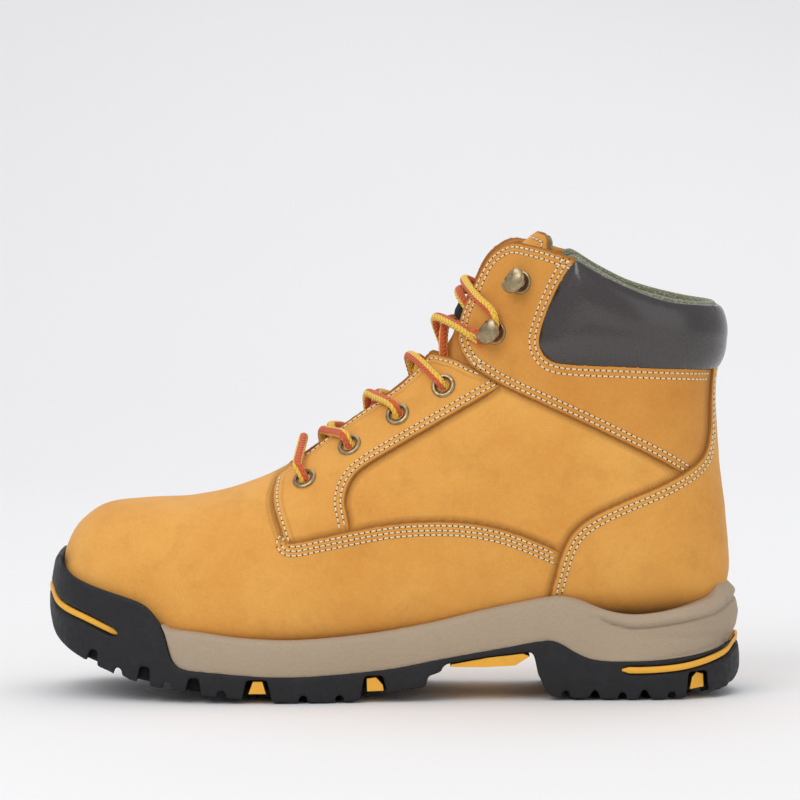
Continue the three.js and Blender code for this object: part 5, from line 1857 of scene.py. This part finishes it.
class BOOT_OT_hooks(bpy.types.Operator):
    """Rivets the speed hooks to the hookstays"""

    bl_idname = "boot.hooks"
    bl_label = "Speed hooks"

    def execute(self, context):
        brass = shared("antique_brass", antique_brass)
        face = eyelet_face("hook")
        base = lathe(rounded([
            (2.0, face + 0.05), (5.0, face + 0.05), (5.35, face + 0.35), (5.1, face + 0.8), (4.3, face + 1.0),
            (2.4, face + 0.75), (1.9, face + 0.5),
        ]))
        rivet = lathe([
            (0.001, -3.9), (3.6, -3.8), (3.8, -3.4), (1.6, -3.2), (1.6, face + 0.9), (2.9, face + 1.0),
            (2.7, face + 1.5), (1.4, face + 1.9), (0.001, face + 2.0),
        ], 28)
        for side, sign in SIDES:
            for i, (x, z) in enumerate(HOOK_PLACES):
                matrix = place_matrix(x, z, sign)
                hook = placed(f"hook_{side}_{i + 1}", [base, hook_neck(), hook_cap()], matrix, brass)
                settle(hook, "boot", "antique_brass", f"speed_hook_{side}_{i + 1}")
                pin = placed(f"rivet_{side}_{i + 1}", [rivet], matrix, brass)
                settle(pin, "boot", "antique_brass", f"hook_rivet_{side}_{i + 1}")
        return {"FINISHED"}


# ------------------------------------------------------------------ lace
def lace_path(spacing):
    """Close points along the lace's route."""
    return resample(smooth_line(LACE_ROUTE, 10), spacing)


def frames_along(path):
    """Two directions across the cord at each point, without twist."""
    way = unit(np.gradient(path, axis=0))
    side = unit(np.cross(way[0], [0, 1, 0.3]))
    sides = []
    for w in way:
        side = unit(side - w * (side @ w))
        sides.append(side)
    sides = np.array(sides)
    return sides, np.cross(way, sides)


class BOOT_OT_lace(bpy.types.Operator):
    """Threads the braided lace through eyelets and hooks"""

    bl_idname = "boot.lace"
    bl_label = "Lace"

    round_steps = 16
    stitch_pitch = 2.1
    columns = 8

    def execute(self, context):
        tips = [self.tip("medial", LACE_ROUTE[0]), self.tip("lateral", LACE_ROUTE[-1])]
        path = lace_path(0.6)
        cord = self.braid(path)
        settle(cord, "boot", "lace_braid", "lace")
        length = np.linalg.norm(np.diff(path, axis=0), axis=1).sum() * MM
        self.report({"INFO"}, f"lace {length:.3f} m")
        return {"FINISHED"}

    def braid(self, path):
        """A tube whose strands stand out in slanting stitches."""
        n = self.round_steps
        radius = sizes().lace / MM / 2
        sides, ups = frames_along(path)
        run = np.r_[0, np.cumsum(np.linalg.norm(np.diff(path, axis=0), axis=1))]
        angle = np.arange(n) * 2 * math.pi / n
        pitch = self.stitch_pitch
        column = angle / (2 * math.pi) * self.columns
        slant = np.abs(column.astype(int) % 2 - (column % 1)) * 0.8
        wave = np.abs(((run[:, None] / pitch + slant) % 1) - 0.5) * 2
        fat = radius * (1.0 - 0.11 * wave**2)
        rings = path[:, None] + fat[..., None] * (
            np.cos(angle)[None, :, None] * sides[:, None] + np.sin(angle)[None, :, None] * ups[:, None])
        piece = make_object("lace_cord", rings.reshape(-1, 3), ring_faces(rings, False),
                            [shared("lace_braid", lace_braid)])
        layer = piece.data.uv_layers.new(name="along_round")
        rows = np.zeros(len(piece.data.loops), int)
        piece.data.loops.foreach_get("vertex_index", rows)
        along, around = rows // n, (rows % n) / n
        starts = np.array([p.loop_start for p in piece.data.polygons])
        totals = np.array([p.loop_total for p in piece.data.polygons])
        for start, total in zip(starts, totals):
            part = around[start:start + total]
            if total == 4 and part.max() > 0.9 and part.min() < 0.1:
                around[start:start + total] = np.where(part < 0.1, part + 1, part)
        uv = np.c_[run[along] / pitch, around].astype(np.float32)
        layer.data.foreach_set("uv", uv.ravel())
        return outward(piece)

    def tip(self, side, end):
        """A film-wrapped tip that hangs below its end of the lace."""
        length = sizes().aglet / MM
        profile = [
            (0.001, -length), (1.45, -length), (1.62, -length + 0.5), (1.8, -length * 0.5), (1.9, -1.2),
            (2.0, -0.6), (1.95, -0.2), (0.001, -0.2),
        ]
        verts, faces = lathe(profile, 20)
        verts = [(x + end[0], z + end[1], y + end[2]) for x, y, z in verts]
        piece = outward(make_object(f"aglet_{side}", verts, faces, [shared("lace_film", lace_film)]))
        return settle(piece, "boot", "lace_tip", f"lace_tip_{side}")


# ------------------------------------------------------------------ hidden parts
class BOOT_OT_inside(bpy.types.Operator):
    """Finishes the parts inside the boot"""

    bl_idname = "boot.inside"
    bl_label = "Inside parts"

    def execute(self, context):
        nodes = frame["nodes"]
        dress(nodes["steel_toe_cap"], shared("steel", steel))
        dress(nodes["steel_shank"], shared("steel", steel))
        dress(nodes["heel_counter"], shared("fibre_board", fibre_board))
        dress(nodes["insole_board"], shared("fibre_board", fibre_board))
        soften(nodes["footbed"], 0.8 * MM)
        dress(nodes["footbed"], shared("foam_textile", foam_textile))
        return {"FINISHED"}


# ------------------------------------------------------------------ stage
class BOOT_OT_stage(bpy.types.Operator):
    """Sets the camera, a pale floor and soft light"""

    bl_idname = "boot.stage"
    bl_label = "Stage"

    def execute(self, context):
        self.camera()
        self.floor()
        self.lights()
        return {"FINISHED"}

    def camera(self):
        target = Vector((2.65, -30, 132.2)) * MM
        distance, elevation, seen = 2.6, math.radians(4.0), 0.3538
        data = bpy.data.cameras.new("camera")
        data.sensor_width = 36
        data.lens = 36 * distance / seen
        data.clip_end = 50
        camera = bpy.data.objects.new("camera", data)
        bpy.context.scene.collection.objects.link(camera)
        back = Vector((0, -math.cos(elevation), math.sin(elevation)))
        camera.location = target + back * distance
        camera.rotation_mode = "QUATERNION"
        camera.rotation_quaternion = (-back).to_track_quat("-Z", "Y")
        bpy.context.scene.camera = camera
        bpy.context.scene.view_settings.view_transform = "Standard"

    def floor(self):
        """A floor that sweeps up into a backdrop."""
        bend = [(1.2 + 1.3 * math.sin(a), 1.3 - 1.3 * math.cos(a)) for a in np.linspace(0, math.pi / 2, 40)]
        flat = [(y, 0.0) for y in np.linspace(-4.0, 1.1, 52)]
        line = flat + bend + [(2.5, z) for z in np.linspace(1.4, 4.0, 26)]
        verts = [(x, y, z - 0.0004) for x in (-5, 5) for y, z in line]
        count = len(line)
        faces = [(k, k + count, k + 1 + count, k + 1) for k in range(count - 1)]
        finish = Finish("backdrop")
        shade = finish.noise(1.5, 2.0)
        finish.set(Base_Color=finish.mix(shade, linear(240, 239, 238), linear(244, 243, 242)), Roughness=0.9)
        finish.set(Specular_IOR_Level=0.2)
        floor = make_object("backdrop", np.array(verts), faces, [finish.material], unit_size=1.0)

    def lights(self):
        world = bpy.data.worlds.new("studio")
        world.use_nodes = True
        world.node_tree.nodes["Background"].inputs["Color"].default_value = (0.93, 0.95, 1.0, 1)
        world.node_tree.nodes["Background"].inputs["Strength"].default_value = 0.62
        bpy.context.scene.world = world
        # name, place, aim, size, power
        lamps = [
            ("key", (-1.0, -1.5, 1.7), (0, 0, 0.1), 1.6, 20),
            ("fill", (1.5, -1.7, 0.6), (0, 0, 0.1), 1.8, 5),
            ("top", (0.1, 0.4, 1.9), (0, 0, 0.05), 1.8, 9),
            ("back", (0.4, 1.5, 1.2), (0, 0, 0.1), 1.4, 4),
        ]
        for name, place, aim, size, power in lamps:
            data = bpy.data.lights.new(name, "AREA")
            data.size, data.energy = size, power
            lamp = bpy.data.objects.new(name, data)
            bpy.context.scene.collection.objects.link(lamp)
            lamp.location = place
            lamp.rotation_mode = "QUATERNION"
            lamp.rotation_quaternion = (Vector(aim) - Vector(place)).to_track_quat("-Z", "Y")


# ------------------------------------------------------------------ panel and registration
STEPS = (
    BOOT_OT_stage, BOOT_OT_lace, BOOT_OT_leather, BOOT_OT_stitching, BOOT_OT_collar, BOOT_OT_lining,
    BOOT_OT_tongue, BOOT_OT_midsole, BOOT_OT_outsole, BOOT_OT_accents, BOOT_OT_eyelets, BOOT_OT_hooks,
    BOOT_OT_inside,
)


class BOOT_PT_panel(bpy.types.Panel):
    """Lists the boot's settings and steps."""

    bl_idname = "BOOT_PT_panel"
    bl_label = "Work boot"
    bl_space_type = "VIEW_3D"
    bl_region_type = "UI"
    bl_category = "Boot"

    def draw(self, context):
        for group in (context.scene.boot_sizes, context.scene.boot_colours):
            box = self.layout.box()
            for name in group.__annotations__:
                box.prop(group, name)
        for step in STEPS:
            self.layout.operator(step.bl_idname)


CLASSES = (BOOT_PG_sizes, BOOT_PG_colours, *STEPS, BOOT_PT_panel)


def register():
    for item in CLASSES:
        bpy.utils.register_class(item)
    bpy.types.Scene.boot_sizes = bpy.props.PointerProperty(type=BOOT_PG_sizes)
    bpy.types.Scene.boot_colours = bpy.props.PointerProperty(type=BOOT_PG_colours)


def unregister():
    del bpy.types.Scene.boot_sizes
    del bpy.types.Scene.boot_colours
    for item in reversed(CLASSES):
        bpy.utils.unregister_class(item)


def main():
    register()
    for step in STEPS:
        group, name = step.bl_idname.split(".")
        getattr(getattr(bpy.ops, group), name)()
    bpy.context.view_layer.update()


if __name__ == "__main__":
    main()
